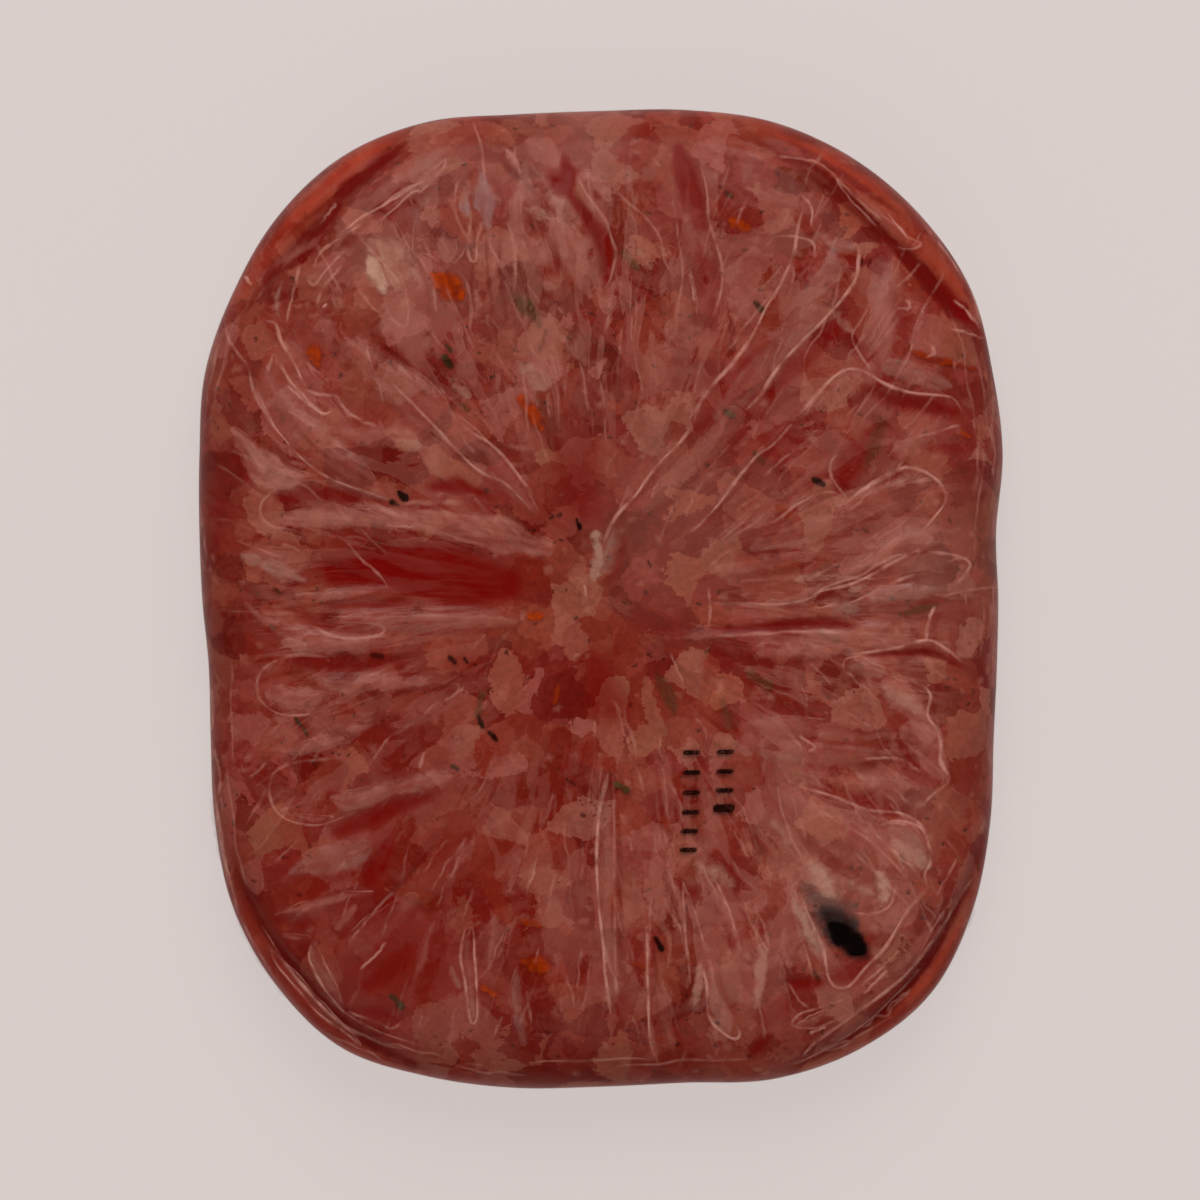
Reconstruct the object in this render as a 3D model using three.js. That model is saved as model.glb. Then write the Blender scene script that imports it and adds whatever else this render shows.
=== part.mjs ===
// Raw dog food pack: a slab of minced meat and vegetables, sealed and shrunk into clear film.
// It lies flat with its gathered face up. Units are millimetres, with +Z up and +Y towards the far end.
// The origin is on the surface that the slab lies on, under the middle of its outline.
import * as THREE from "three";

// Driving dimensions.
const CROWN = 23.6; // from the flat underside to the top between its gathers
const WIDEST_LEVEL = 10.5; // height at which the wall stands out furthest
const SHOULDER_POWER = 11; // how late the top turns down into the wall; higher is squarer
const FLAT_SHARE = 0.88; // share of the reach at which the underside leaves the flat
const CENTRE_HOLLOW = { depth: 1.1, radius: 17 }; // the dip where the gathers of film meet
const LUMP = { height: 0.35, across: 6.1, along: 7.2 }; // slow unevenness of the mince under the film
const CROSSING_SHARE = 0.25; // how much of the lower gathers shows where several cross

// Distance from the middle to the widest edge, every 10 degrees round from +X.
const EDGE_REACH = [
  69.9, 70.6, 75.2, 79.6, 84.9, 87.8, 89.3, 89.2, 87.3, 85.8, 86.5, 89.2,
  90.0, 87.9, 84.0, 80.0, 74.8, 71.4, 69.8, 69.7, 72.7, 78.0, 84.0, 88.3,
  90.7, 88.9, 86.9, 85.4, 86.0, 89.4, 91.0, 90.2, 85.2, 79.0, 73.5, 70.7,
];

// Gathers: raised folds of slack film, from the inner end, past a bend, to the outer end.
// [inner x, inner y, bend x, bend y, outer x, outer y, width, height]
const GATHERS = {
  left: [
    [-5.6, 8.8, -30, 14.8, -57.6, 14.0, 4.2, 0.85],
    [-13.1, -4.2, -30, -3.4, -45.9, -3.9, 3.6, 0.78],
    [-37.5, -6.7, -50, -5.6, -62.5, 0.2, 3.2, 0.65],
    [-50.4, 3.2, -56, 5.0, -62.0, 7.4, 3.0, 0.65],
    [-26.2, -14.4, -42, -14.6, -58.6, -17.5, 3.8, 0.78],
    [-22.9, -29.8, -40, -32.5, -56.9, -35.0, 3.6, 0.78],
    [-39.7, -43.4, -46, -45.6, -52.5, -49.9, 4.4, 0.65],
    [-39.7, -50.8, -48, -52.4, -57.1, -55.1, 2.8, 0.59],
    [-49.4, 21.4, -56, 23.6, -63.9, 29.4, 4.0, 0.72],
  ],
  farLeft: [
    [-9.6, 14.9, -26, 30, -41.1, 44.6, 4.6, 0.85],
    [-35.0, 17.9, -48, 30, -59.2, 47.2, 4.6, 0.78],
    [-26.9, 77.0, -37, 70, -46.2, 63.7, 3.0, 0.65],
    [-27.6, 71.8, -38, 65, -47.2, 56.9, 3.0, 0.59],
  ],
  far: [
    [10.2, 31.9, 6, 42, 4.6, 55.1, 3.4, 0.72],
    [2.5, 52.0, -1, 62, -1.8, 75.3, 3.2, 0.72],
    [17.5, 45.5, 18.5, 62, 14.0, 78.0, 4.0, 0.78],
    [-14.0, 50.0, -14.5, 62, -13.5, 74.0, 3.0, 0.65],
    [-22.8, 50.8, -22.5, 62, -19.6, 72.6, 3.0, 0.65],
  ],
  farRight: [
    [1.2, 11.6, 22, 34, 36.9, 63.2, 3.6, 1.04],
    [16.3, 11.6, 32, 36, 45.9, 62.5, 3.6, 1.04],
    [22.4, 20.7, 34, 30, 44.8, 40.8, 3.4, 0.85],
    [29.2, 14.0, 42, 24, 53.4, 34.3, 5.0, 0.85],
  ],
  right: [
    [22.8, -0.5, 43, 10.5, 59.5, 17.5, 7.0, 0.91],
    [36.9, -0.4, 50, 1.6, 64.4, 6.5, 3.4, 0.72],
    [10.9, -6.5, 30, -6.4, 50.9, -4.7, 3.4, 0.72],
    [24.7, -23.6, 42, -26, 60.4, -31.5, 8.0, 0.85],
    [33.3, -33.3, 46, -36, 57.8, -40.3, 5.0, 0.72],
    [43.8, -14.0, 50, -16, 57.0, -20.1, 4.6, 0.72],
  ],
  nearRight: [
    [36.8, -49.0, 42, -57, 47.3, -65.6, 9.0, 0.85],
    [11.9, -47.3, 14.5, -58, 16.6, -70.0, 2.8, 0.65],
    [15.2, -52.5, 18, -65, 22.8, -76.1, 2.8, 0.65],
    [20.3, -50.8, 23, -57, 25.4, -63.0, 2.8, 0.59],
    [27.5, -60.4, 27.8, -66, 27.5, -71.4, 2.8, 0.59],
  ],
  near: [
    [0.5, -24.5, -1.5, -48, 2.3, -72.6, 3.2, 0.98],
    [8.4, -52.5, 8.0, -66, 9.6, -79.6, 2.8, 0.72],
    [-17.5, -50.8, -16, -63, -14.5, -76.1, 3.2, 0.65],
    [-22.0, -57.0, -24, -66, -22.4, -74.0, 2.8, 0.59],
  ],
  nearLeft: [
    [-9.6, -15.8, -24, -33, -39.4, -52.5, 4.6, 0.78],
    [-17.5, -28.0, -32, -44, -45.5, -57.8, 4.2, 0.65],
    [-50.8, -59.5, -47, -66, -44.7, -71.9, 2.8, 0.59],
  ],
};

// Corner tucks: where the film of the wall is folded under that of the top.
// Each runs round from one bearing to the other, in degrees, and bows in from the edge.
// The shares are of the edge's reach, at the two ends and where the tuck bows in most.
const TUCKS = [
  { from: 33, to: 74, start: 0.985, bow: 0.912, end: 0.955, depth: 3.2, roll: 1.1 },
  { from: 111, to: 142, start: 0.98, bow: 0.925, end: 0.96, depth: 3.0, roll: 1.1 },
  { from: 214, to: 251, start: 0.965, bow: 0.945, end: 0.99, depth: 2.4, roll: 0.6 },
  { from: 291, to: 329, start: 0.985, bow: 0.955, end: 0.985, depth: 3.2, roll: 0.9 },
];
const TUCK_INNER = 1.6; // width of a tuck's steep inner side
const TUCK_OUTER = 3.0; // width of its gentle outer side

// Channels of the underside, shallow because the slab lies on it.
const UNDERSIDE = { channels: 22, depth: 0.6, innerShare: 0.5 };

// How finely the surface is divided.
const BEARINGS = 180;
const TOP_SHARES = [
  0.07, 0.15, 0.23, 0.31, 0.39, 0.47, 0.55, 0.62, 0.69, 0.75, 0.8, 0.84,
  0.865, 0.885, 0.902, 0.918, 0.933, 0.947, 0.96, 0.972, 0.982, 0.991,
];
const UNDER_SHARES = [0.993, 0.965, 0.92, 0.88, 0.78, 0.62, 0.45];
const CURVE_STEPS = 10;

const bell = (u) => Math.exp(-u * u);

// Catmull-Rom interpolation of the edge's reach round the closed outline.
function edgeReach(bearing) {
  const step = 360 / EDGE_REACH.length;
  const place = THREE.MathUtils.euclideanModulo(bearing, 360) / step;
  const first = Math.floor(place);
  const u = place - first;
  const at = (k) => EDGE_REACH[THREE.MathUtils.euclideanModulo(first + k, EDGE_REACH.length)];
  const slopeStart = (at(1) - at(-1)) / 2;
  const slopeEnd = (at(2) - at(0)) / 2;
  return (2 * u ** 3 - 3 * u ** 2 + 1) * at(0) + (u ** 3 - 2 * u ** 2 + u) * slopeStart
    + (3 * u ** 2 - 2 * u ** 3) * at(1) + (u ** 3 - u ** 2) * slopeEnd;
}

// A gather's centreline as points along its curve, with its width and height.
function gatherLine([ix, iy, bx, by, ox, oy, width, height]) {
  const middle = new THREE.Vector2(2 * bx - (ix + ox) / 2, 2 * by - (iy + oy) / 2);
  const curve = new THREE.QuadraticBezierCurve(new THREE.Vector2(ix, iy), middle, new THREE.Vector2(ox, oy));
  return { points: curve.getPoints(CURVE_STEPS), width, height };
}

// Height that one gather adds at a place: a rounded ridge that fades towards both ends.
function gatherHeight(line, place) {
  let nearest = Infinity;
  let along = 0;
  for (let k = 0; k < line.points.length - 1; k += 1) {
    const start = line.points[k];
    const run = line.points[k + 1].clone().sub(start);
    const share = THREE.MathUtils.clamp(place.clone().sub(start).dot(run) / run.lengthSq(), 0, 1);
    const distance = start.clone().addScaledVector(run, share).distanceTo(place);
    if (distance < nearest) {
      nearest = distance;
      along = (k + share) / (line.points.length - 1);
    }
  }
  const fade = Math.min(1, 0.35 + 2.6 * along, 0.35 + 4.0 * (1 - along));
  return line.height * fade * bell((1.7 * nearest) / line.width);
}

// Relief of the corner tucks at a bearing: a groove along each tuck's line, with a roll of film outside it.
function tuckHeight(bearing, share, reach) {
  let height = 0;
  for (const tuck of TUCKS) {
    const along = (bearing - tuck.from) / (tuck.to - tuck.from);
    if (along <= 0 || along >= 1) continue;
    const bow = Math.sin(Math.PI * along);
    const line = THREE.MathUtils.lerp(THREE.MathUtils.lerp(tuck.start, tuck.end, along), tuck.bow, bow);
    const fade = bow ** 0.5;
    const outward = (share - line) * reach;
    const side = outward < 0 ? TUCK_INNER : TUCK_OUTER;
    height += fade * (tuck.roll * bell(outward / TUCK_OUTER - 2) - tuck.depth * bell(outward / side));
  }
  return height;
}

const gathers = Object.values(GATHERS).flat().map(gatherLine);

// Top of the pack at a bearing, at a share of the edge's reach.
function topPoint(bearing, share) {
  const reach = edgeReach(bearing);
  const turn = THREE.MathUtils.degToRad(bearing);
  const place = new THREE.Vector2(Math.cos(turn), Math.sin(turn)).multiplyScalar(share * reach);
  const shoulder = Math.sqrt(1 - share ** SHOULDER_POWER);
  const heights = gathers.map((line) => gatherHeight(line, place));
  const highest = Math.max(...heights);
  const rest = heights.reduce((sum, height) => sum + height, -highest);
  const relief = highest + CROSSING_SHARE * rest
    + tuckHeight(bearing, share, reach)
    - CENTRE_HOLLOW.depth * bell(place.length() / CENTRE_HOLLOW.radius)
    + LUMP.height * Math.sin(place.x / LUMP.across) * Math.cos(place.y / LUMP.along);
  const level = WIDEST_LEVEL + (CROWN - WIDEST_LEVEL + relief) * shoulder;
  return new THREE.Vector3(place.x, place.y, level);
}

// Underside at a bearing: flat in the middle, then shallow channels, then the turn up into the wall.
function underPoint(bearing, share) {
  const turn = THREE.MathUtils.degToRad(bearing);
  const reach = share * edgeReach(bearing);
  const past = Math.max(0, (share - FLAT_SHARE) / (1 - FLAT_SHARE));
  const wall = WIDEST_LEVEL * (1 - Math.sqrt(Math.max(0, 1 - past * past)));
  const ramp = THREE.MathUtils.smoothstep(share, UNDERSIDE.innerShare, FLAT_SHARE);
  const wave = Math.max(0, Math.sin(turn * UNDERSIDE.channels + 2 * Math.sin(3 * turn)));
  return new THREE.Vector3(reach * Math.cos(turn), reach * Math.sin(turn), wall + UNDERSIDE.depth * ramp * wave ** 2);
}

// One closed skin: rings of points from the top's middle out to the edge and back under, joined by faces.
function packGeometry() {
  const rings = [
    ...TOP_SHARES.map((share) => (bearing) => topPoint(bearing, share)),
    (bearing) => topPoint(bearing, 1),
    ...UNDER_SHARES.map((share) => (bearing) => underPoint(bearing, share)),
  ];
  const points = [topPoint(0, 0)];
  for (const ring of rings) {
    for (let k = 0; k < BEARINGS; k += 1) points.push(ring((360 * k) / BEARINGS));
  }
  points.push(new THREE.Vector3(0, 0, 0));
  const faces = [];
  const at = (ring, k) => 1 + ring * BEARINGS + (k % BEARINGS);
  const last = points.length - 1;
  for (let k = 0; k < BEARINGS; k += 1) {
    faces.push(0, at(0, k), at(0, k + 1));
    for (let ring = 0; ring < rings.length - 1; ring += 1) {
      faces.push(at(ring, k), at(ring + 1, k), at(ring + 1, k + 1));
      faces.push(at(ring, k), at(ring + 1, k + 1), at(ring, k + 1));
    }
    faces.push(last, at(rings.length - 1, k + 1), at(rings.length - 1, k));
  }
  const geometry = new THREE.BufferGeometry().setFromPoints(points);
  geometry.setIndex(faces);
  geometry.computeVertexNormals();
  return geometry;
}

const filmOverMince = new THREE.MeshStandardMaterial({ color: 0x7f3d37, roughness: 0.32, metalness: 0 });
const pack = new THREE.Mesh(packGeometry(), filmOverMince);
pack.name = "pack";
const middle = new THREE.Box3().setFromObject(pack).getCenter(new THREE.Vector3());
pack.position.set(-middle.x, -middle.y, 0);

const part = new THREE.Group();
part.add(pack);
export default part;
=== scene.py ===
"""Raw dog food pack: minced meat and vegetables, sealed and shrunk into clear film, lying face up.

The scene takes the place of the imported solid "pack" with the film, the mince that it holds, the bits
in the mince and the marks printed on the film. The tables are in millimetres from the middle of the
pack, with +X to the right and +Y to the far end. The meshes are in metres.
"""
import logging
import math
from dataclasses import dataclass, field
from enum import Enum
from functools import partial
from typing import Any, Callable, Optional, Sequence

import bpy
import numpy as np
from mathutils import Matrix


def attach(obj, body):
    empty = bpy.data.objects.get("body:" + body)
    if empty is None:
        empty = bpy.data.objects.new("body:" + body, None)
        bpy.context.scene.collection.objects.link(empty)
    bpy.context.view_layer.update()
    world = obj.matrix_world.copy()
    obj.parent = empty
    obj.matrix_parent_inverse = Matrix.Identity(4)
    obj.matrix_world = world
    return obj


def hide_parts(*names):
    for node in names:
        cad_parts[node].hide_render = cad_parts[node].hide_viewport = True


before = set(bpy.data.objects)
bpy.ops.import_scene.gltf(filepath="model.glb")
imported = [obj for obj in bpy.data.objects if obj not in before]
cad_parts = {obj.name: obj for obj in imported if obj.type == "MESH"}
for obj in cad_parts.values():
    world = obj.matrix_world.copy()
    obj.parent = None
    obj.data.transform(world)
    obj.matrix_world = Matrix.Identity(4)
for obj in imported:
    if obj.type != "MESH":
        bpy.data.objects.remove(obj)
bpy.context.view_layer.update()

MM = 0.001  # metres in a millimetre
LOG = logging.getLogger("dog_food_pack")
END_BAND = 34.0  # millimetres along from the middle, past which the film is slackest

Path = tuple[tuple[float, ...], ...]
Add = Callable[..., bpy.types.Node]


class Tint(Enum):
    """Colour of a lifted fold: of the mince close under it, of a wider gap, of fat, or of lit juice."""

    PINK = "be786a"
    GREY = "ae8174"
    LILAC = "a58482"
    GLOW = "b8402a"


@dataclass(frozen=True)
class Fold:
    """A fold of slack film that air lifts off the mince: a centreline with a width at each point."""

    path: Path
    haze: float
    rim: float = 0.4
    lift: float = 0.7
    tint: Tint = Tint.PINK
    soft: float = 0.8


@dataclass(frozen=True)
class Crease:
    """A sharp crease of the film that catches the light, as a line of points."""

    path: Path
    bright: float = 0.6
    width: float = 0.75


@dataclass(frozen=True)
class Pinch:
    """A gap where the film is pinched down, drawn as a strip of painted shade: a centreline with widths.

    Wet runs from 0 for a brown shade to 1 for dark red juice.
    """

    path: Path
    depth: float = 0.5
    wet: float = 0.4


@dataclass(frozen=True)
class WetPatch:
    """Where the film lies tight on the mince and juice shows dark red: a centreline with widths."""

    path: Path
    depth: float = 0.6
    soft: float = 1.8


@dataclass(frozen=True)
class Region:
    """An area of the mince that is fatter and paler than the rest, or leaner and redder below 0."""

    x: float
    y: float
    radius: float
    fat: float


@dataclass(frozen=True)
class Bit:
    """A bit in the face of the mince: a centreline with widths, and how plain it shows in the juice.

    Soft is the width in millimetres over which its edge fades into the mince. Tone runs from the
    kind's darker colour at 0 to its paler colour at 1.
    """

    path: Path
    cover: float = 0.9
    soft: float = 0.8
    tone: float = 0.5


@dataclass(frozen=True)
class Tuck:
    """A corner tuck, where the film of the wall is folded in under that of the top.

    It runs round between two bearings in degrees. The shares are of the edge's reach, at the two
    ends and where the tuck bows in most. Depth and roll are the groove and the roll outside it.
    """

    first: float
    last: float
    start: float
    bow: float
    end: float
    depth: float
    roll: float


# Each row of these tables gives a line's points, then the other fields of its kind in their order.
FOLDS: tuple[Fold, ...] = tuple(Fold(*row) for row in (
    # At the left.
    (((-57.9, 13.5, 1.2), (-52, 14.2, 3.2), (-44.1, 14.2, 4), (-37.5, 14.4, 3.4), (-30.7, 13.9, 4.6),
      (-22, 12.4, 6), (-16, 11, 7), (-11, 9.3, 4.6), (-7.6, 8.9, 2.6)), 0.58, 0.5, 0.9),
    (((-64.6, 30.2, 1.4), (-61.6, 26.6, 4), (-58.2, 22.8, 6.6), (-54.6, 21.3, 4.4), (-51.2, 21.5, 2),
      (-49.2, 21.6, 0.8)), 0.8, 0.5, 0.8),
    (((-59, 39, 2), (-55, 33, 4.2), (-49.5, 27, 5.6), (-43.6, 22.4, 5.6), (-37.2, 17.9, 1.6)), 0.26, 0.6,
     1.2),
    (((-45.5, 29.3, 1.6), (-41.5, 28.4, 3.2), (-36.5, 28.2, 4.2), (-31, 27.6, 2.2)), 0.38, 0.3, 0.6),
    (((-45.6, 45.4, 2), (-40, 41.4, 5.6), (-33, 36.2, 7.4), (-26.6, 30.2, 6), (-20.4, 25, 4.8),
      (-14.8, 19.4, 3.4), (-10.7, 14.6, 1)), 0.28, 0.6, 1.3),
    (((-16.6, 26.9, 1.4), (-13.8, 26.6, 1.8), (-11, 26.3, 1.2)), 0.45, 0.1, 0.3),
    (((-45.6, -3.5, 1.4), (-38, -3.4, 2.6), (-30.7, -3.7, 3.2), (-22, -3.6, 3), (-14, -3.9, 1.6)), 0.46, 0.25,
     1.1),
    (((-50.6, -0.6, 0.8), (-47.5, 0.4, 2), (-43.5, 1, 1.6), (-37.9, 1.7, 0.7)), 0.5, 0.6, 0.5),
    (((-63, 8, 1.8), (-58.8, 6.3, 2.8), (-54.5, 4.6, 2.6), (-51, 3.1, 1.4)), 0.55, 0.3, 0.9, Tint.GREY),
    (((-62.3, -0.4, 1), (-58.4, -3.6, 2.2), (-52.6, -6.6, 3.2), (-46, -7.8, 3), (-40.5, -7.4, 2),
      (-37.2, -6.4, 0.8)), 0.45, 0.4, 1),
    (((-58.6, -16, 2.6), (-54.5, -17.2, 4.6), (-50.5, -17.4, 4), (-47.5, -16.5, 1.6)), 0.5, 0.6, 0.9),
    (((-49.6, -14.3, 1.6), (-45.3, -15.1, 3.4), (-39.5, -14.8, 2.4), (-33, -14.4, 1.8), (-26.2, -14.6, 0.7)),
     0.62, 0.3, 1),
    (((-55.8, -26.4, 1.2), (-50, -25.4, 2.4), (-44.5, -24, 2)), 0.42, 0.5, 0.6),
    (((-44.6, -22.6, 1.8), (-41.6, -22.2, 2.2), (-39.2, -21.4, 1.2)), 0.5, 0.2, 0.4),
    # At the near left.
    (((-47.4, -34.3, 1.2), (-43.3, -35.2, 4), (-37.2, -33.4, 2.8), (-29.7, -31.6, 3), (-24.6, -30.4, 1.2)),
     0.55, 0.3, 1.1),
    (((-53.6, -37.4, 1), (-50.2, -38.2, 1.8), (-46.3, -38, 0.8)), 0.45, 0.5, 0.4),
    (((-54.5, -48, 1.2), (-50.5, -46, 4.6), (-45.5, -45, 5.6), (-41, -43.6, 4.6), (-39.4, -43.4, 1.4)), 0.36,
     0.4, 1, Tint.GREY),
    (((-46, -45.2, 0.6), (-42.5, -43.8, 1.2), (-39.8, -42.8, 0.6)), 0.8, 0.2, 0.2),
    (((-53, -46.2, 0.5), (-51.6, -45.7, 0.8), (-50.8, -46.3, 0.4)), 0.8, 0.2, 0.2),
    (((-57, -55, 1), (-51, -53.4, 2.2), (-45, -51.8, 1.8), (-39.4, -50.9, 0.6)), 0.5, 0.6, 0.8),
    (((-55.6, -58.6, 1), (-52.8, -59, 1.8), (-50.4, -58.8, 0.9)), 0.5, 0.3, 0.4),
    (((-46.4, -57.5, 2.4), (-44.4, -55.4, 2.6), (-42.4, -53, 1.2)), 0.4, 0.4, 0.6),
    (((-46, -62, 2), (-42, -59.5, 5), (-36.5, -55.5, 4.6), (-31.5, -51.5, 2.4)), 0.14, 0.5, 1.1),
    (((-36, -54, 3), (-30, -50, 5), (-22, -44, 5), (-15, -38, 3)), 0.1, 0, 1),
    (((-58.2, -60.2, 0.6), (-54, -65.4, 2), (-49, -71.4, 2.6), (-44.6, -75.6, 2.2), (-41.8, -78, 0.8)), 0.4,
     0.9, 0.5),
    (((-49.8, -59.4, 0.6), (-50.2, -62.6, 2.2), (-47.6, -66.8, 3.2), (-45.4, -70.6, 1.6),
      (-44.4, -72.4, 0.5)), 0.3, 0.8, 0.6, Tint.GREY),
    (((-22.6, -57.4, 0.8), (-23.2, -62, 1.8), (-22.6, -67.5, 1.6), (-22, -73, 0.9)), 0.3, 0, 0.5, Tint.GREY),
    (((-18.2, -54.6, 2.4), (-18.8, -60.5, 2), (-19.6, -66, 1.2)), 0.4, 0, 0.6),
    (((-14.4, -64, 1.2), (-14.6, -69.5, 2.6), (-13.4, -76.4, 2.2), (-12.6, -77.6, 0.7)), 0.42, 0.5, 0.8,
     Tint.GREY),
    (((-28.8, -55.6, 1.2), (-31, -62, 2.2), (-33.2, -69, 1.4)), 0.3, 0.2, 0.7),
    (((-25, -81.3, 0.4), (-22, -81.2, 0.8), (-19, -81.4, 0.4)), 0.6, 0.4, 0.1),
    # At the near side.
    (((1.4, -29.5, 1), (0.9, -38, 3.2), (0.9, -46, 3.4), (1.4, -56, 3), (2, -66, 2.6), (2.4, -73.5, 1.4)),
     0.2, 0.2, 1.3, Tint.GREY),
    (((6.8, -50, 0.8), (7.8, -56.5, 1.4), (8.4, -63, 1.2), (8.6, -70, 1.4), (9.4, -78, 2), (10.4, -81, 0.6)),
     0.4, 0.5, 0.9),
    (((11.8, -47, 1.4), (14, -53, 2.2), (15, -60, 1.2), (15.6, -66, 0.8)), 0.5, 0.5, 0.8),
    (((17.4, -63, 1), (17.2, -67, 2), (16.4, -70.4, 1.2)), 0.65, 0.3, 0.6),
    (((19.8, -66, 1), (20.6, -71, 3), (23, -75.2, 2.4)), 0.3, 0.2, 0.6, Tint.GREY),
    (((17.2, -48, 1.6), (20.6, -51.8, 2.4), (22.8, -56.5, 2), (24.4, -61.8, 1)), 0.5, 0.4, 0.8),
    (((27.4, -60.6, 1), (27.8, -65, 2.8), (27.6, -69, 2.4), (27.2, -71.6, 0.9)), 0.55, 0.3, 0.7),
    (((27.4, -55.5, 1.6), (27.2, -59.5, 1.2)), 0.4, 0.2, 0.3),
    (((32.2, -57, 1.6), (32, -60.5, 2), (33.4, -64.4, 1.6)), 0.6, 0.2, 0.6),
    (((13.6, -82, 0.5), (14.2, -80.8, 1.2), (15.2, -78.6, 0.6)), 0.9, 0.4, 0.3),
    (((11.6, -74.4, 1), (12.6, -77.6, 2), (13, -79.6, 0.8)), 0.45, 0.4, 0.4),
    (((34, -74.6, 0.8), (36.4, -73.6, 1.8), (40, -71.4, 0.8)), 0.4, 0.8, 0.4),
    # At the near right.
    (((33.6, -50.6, 1.6), (35.6, -55.5, 3.4), (38, -59.5, 2.8), (39.6, -63.6, 1.2)), 0.5, 0.5, 1, Tint.GREY),
    (((31, -32, 3), (36, -36.5, 7), (43, -41, 9), (50, -45, 8), (56, -46.5, 4)), 0.24, 0.3, 1.2),
    (((50, -39.6, 1.4), (53.4, -41.6, 4.4), (55.8, -44.6, 4), (57.2, -46.8, 1.2)), 0.4, 0.6, 0.5, Tint.GREY),
    (((52, -22.5, 4), (56, -24, 6.6), (58.2, -28, 5.4), (60, -31.5, 2.4)), 0.45, 0.7, 1),
    (((24, -24.5, 3), (32, -26, 4.4), (40, -26.8, 4), (48, -27, 3), (54, -26.5, 2)), 0.3, 0.3, 1.1),
    (((33.6, -30, 1), (42, -31.5, 2), (50, -32.5, 2), (56, -33, 1)), 0.35, 0.3, 0.6),
    # At the right.
    (((2.6, 13, 2.6), (1.6, 9.5, 4.2), (0.6, 6, 4), (-0.8, 3.8, 1.4)), 0.5, 0.1, 0.7, Tint.GREY, 1.8),
    (((22, 19, 1), (24.2, 21.6, 1.6), (25.4, 23.4, 0.8)), 0.6, 0.2, 0.3),
    (((7.5, 15, 2), (12, 20, 4), (18, 26, 5), (25, 33, 5)), 0.24, 0.4, 1.4),
    (((42, 15, 4), (48, 17.5, 6), (54, 18.6, 7), (58.4, 17.8, 5)), 0.2, 0.2, 1.3),
    (((58.6, 10.4, 2), (53.6, 10.2, 4.2), (47, 6.6, 2.4), (41, 3.4, 2), (36.5, 1.2, 2.6), (28.5, -0.8, 1)),
     0.48, 0.6, 0.9),
    (((55, 29, 1.6), (52.4, 25.4, 2), (49.5, 21.6, 1.6), (46, 19, 0.8)), 0.4, 0.4, 0.8),
    (((26, 9, 2), (33, 11, 4), (41, 13.4, 3.6), (48, 15.2, 1.6)), 0.34, 0.2, 0.9),
    (((20.5, 4.4, 3), (27, 6.2, 3), (33, 7, 3), (38.5, 8.4, 1.6)), 0.34, 0.2, 0.7),
    (((46.8, 0, 1), (51, 0.6, 2.6), (56, 1.4, 2.8), (61, 2, 1.6), (61.8, 2.2, 0.5)), 0.6, 0.4, 0.9,
     Tint.GREY),
    (((40.4, -1.6, 1.4), (43.6, -1.4, 2.4), (46, -1.8, 1.2)), 0.5, 0.2, 0.5, Tint.GREY),
    (((11, -6.8, 1), (16, -6.4, 1.6), (22, -6.2, 1.4), (32, -5.6, 1), (41, -5.8, 0.6)), 0.4, 0.4, 0.7),
    (((36, -6, 1.4), (42, -6.2, 2.6), (47, -5.2, 2.6), (50.6, -4.6, 1)), 0.4, 0.3, 0.8),
    (((27, -9.2, 2.6), (34, -9.2, 2.2), (42, -8.4, 1.6), (50, -7.4, 1)), 0.45, 0.3, 0.9),
    (((58.4, -1, 1.4), (57.4, -4, 1.2), (56.8, -7, 2.4)), 0.6, 0.3, 0.6),
    (((53.5, -10.6, 0.8), (57.5, -10.8, 1.6), (60.8, -11, 0.7)), 0.6, 0.3, 0.4),
    (((43, -11.6, 2), (46, -12, 3.6), (50, -13, 2)), 0.45, 0.5, 0.8, Tint.GREY),
    (((49, -14, 2.6), (53, -17, 4.6), (56, -21, 5), (58, -25, 4)), 0.5, 0.5, 1),
    (((33.6, -13.4, 1), (35, -16.4, 1.8), (36, -18.8, 0.8)), 0.45, 0.5, 0.5),
    (((21.4, -13.6, 1.6), (20.6, -16.4, 1.8)), 0.5, 0.2, 0.3),
    (((24, -22.4, 3), (33, -22.2, 4), (43, -23, 3.6), (52, -23.6, 2.4)), 0.33, 0.4, 0.9),
    # At the far right.
    (((41, 60, 4), (38, 53, 7), (33, 46, 6), (27, 39, 5), (20, 31, 3.6)), 0.26, 0.1, 1.3, Tint.GREY),
    (((39.6, 62, 2), (43, 61.6, 3.6), (45.4, 61, 1.4)), 0.5, 0.4, 0.5, Tint.GREY),
    (((40, 56.6, 1.2), (41.6, 55.4, 2)), 0.45, 0.4, 0.3, Tint.GREY),
    (((22.4, 39.4, 1), (24.4, 42.6, 1.6), (26, 44.8, 0.8)), 0.6, 0.2, 0.4),
    (((28, 35.4, 1.4), (30, 38.6, 1.8), (31.5, 41, 0.8)), 0.55, 0.2, 0.4),
    (((51.4, 60, 2), (50.4, 53.6, 5), (48.6, 47.6, 5), (50, 41, 3)), 0.3, 0.3, 1.2),
    (((49, 41, 3), (53, 40, 4.6), (58, 38.4, 4), (61.6, 37, 1.4)), 0.38, 0.4, 1, Tint.GREY),
    (((18.5, 80, 2.4), (24, 79.2, 3.6), (31, 77.6, 2.4)), 0.33, 0.2, 0.5),
    # In the corner tucks.
    (((-47, 60.5, 1.5), (-43.2, 66.8, 4), (-38.4, 71.6, 5.2), (-31.8, 76, 4.4), (-26, 79.4, 1.5)), 0.4, 0.3,
     1.2),
    (((-36.4, 80.2, 1.4), (-41.6, 77.2, 3), (-45.6, 74.2, 3.8), (-49.8, 70.8, 4), (-53.8, 67.2, 3.2),
      (-57.6, 62.4, 1.2)), 0.85, 0, 0.5, Tint.GLOW, 1.5),
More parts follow.
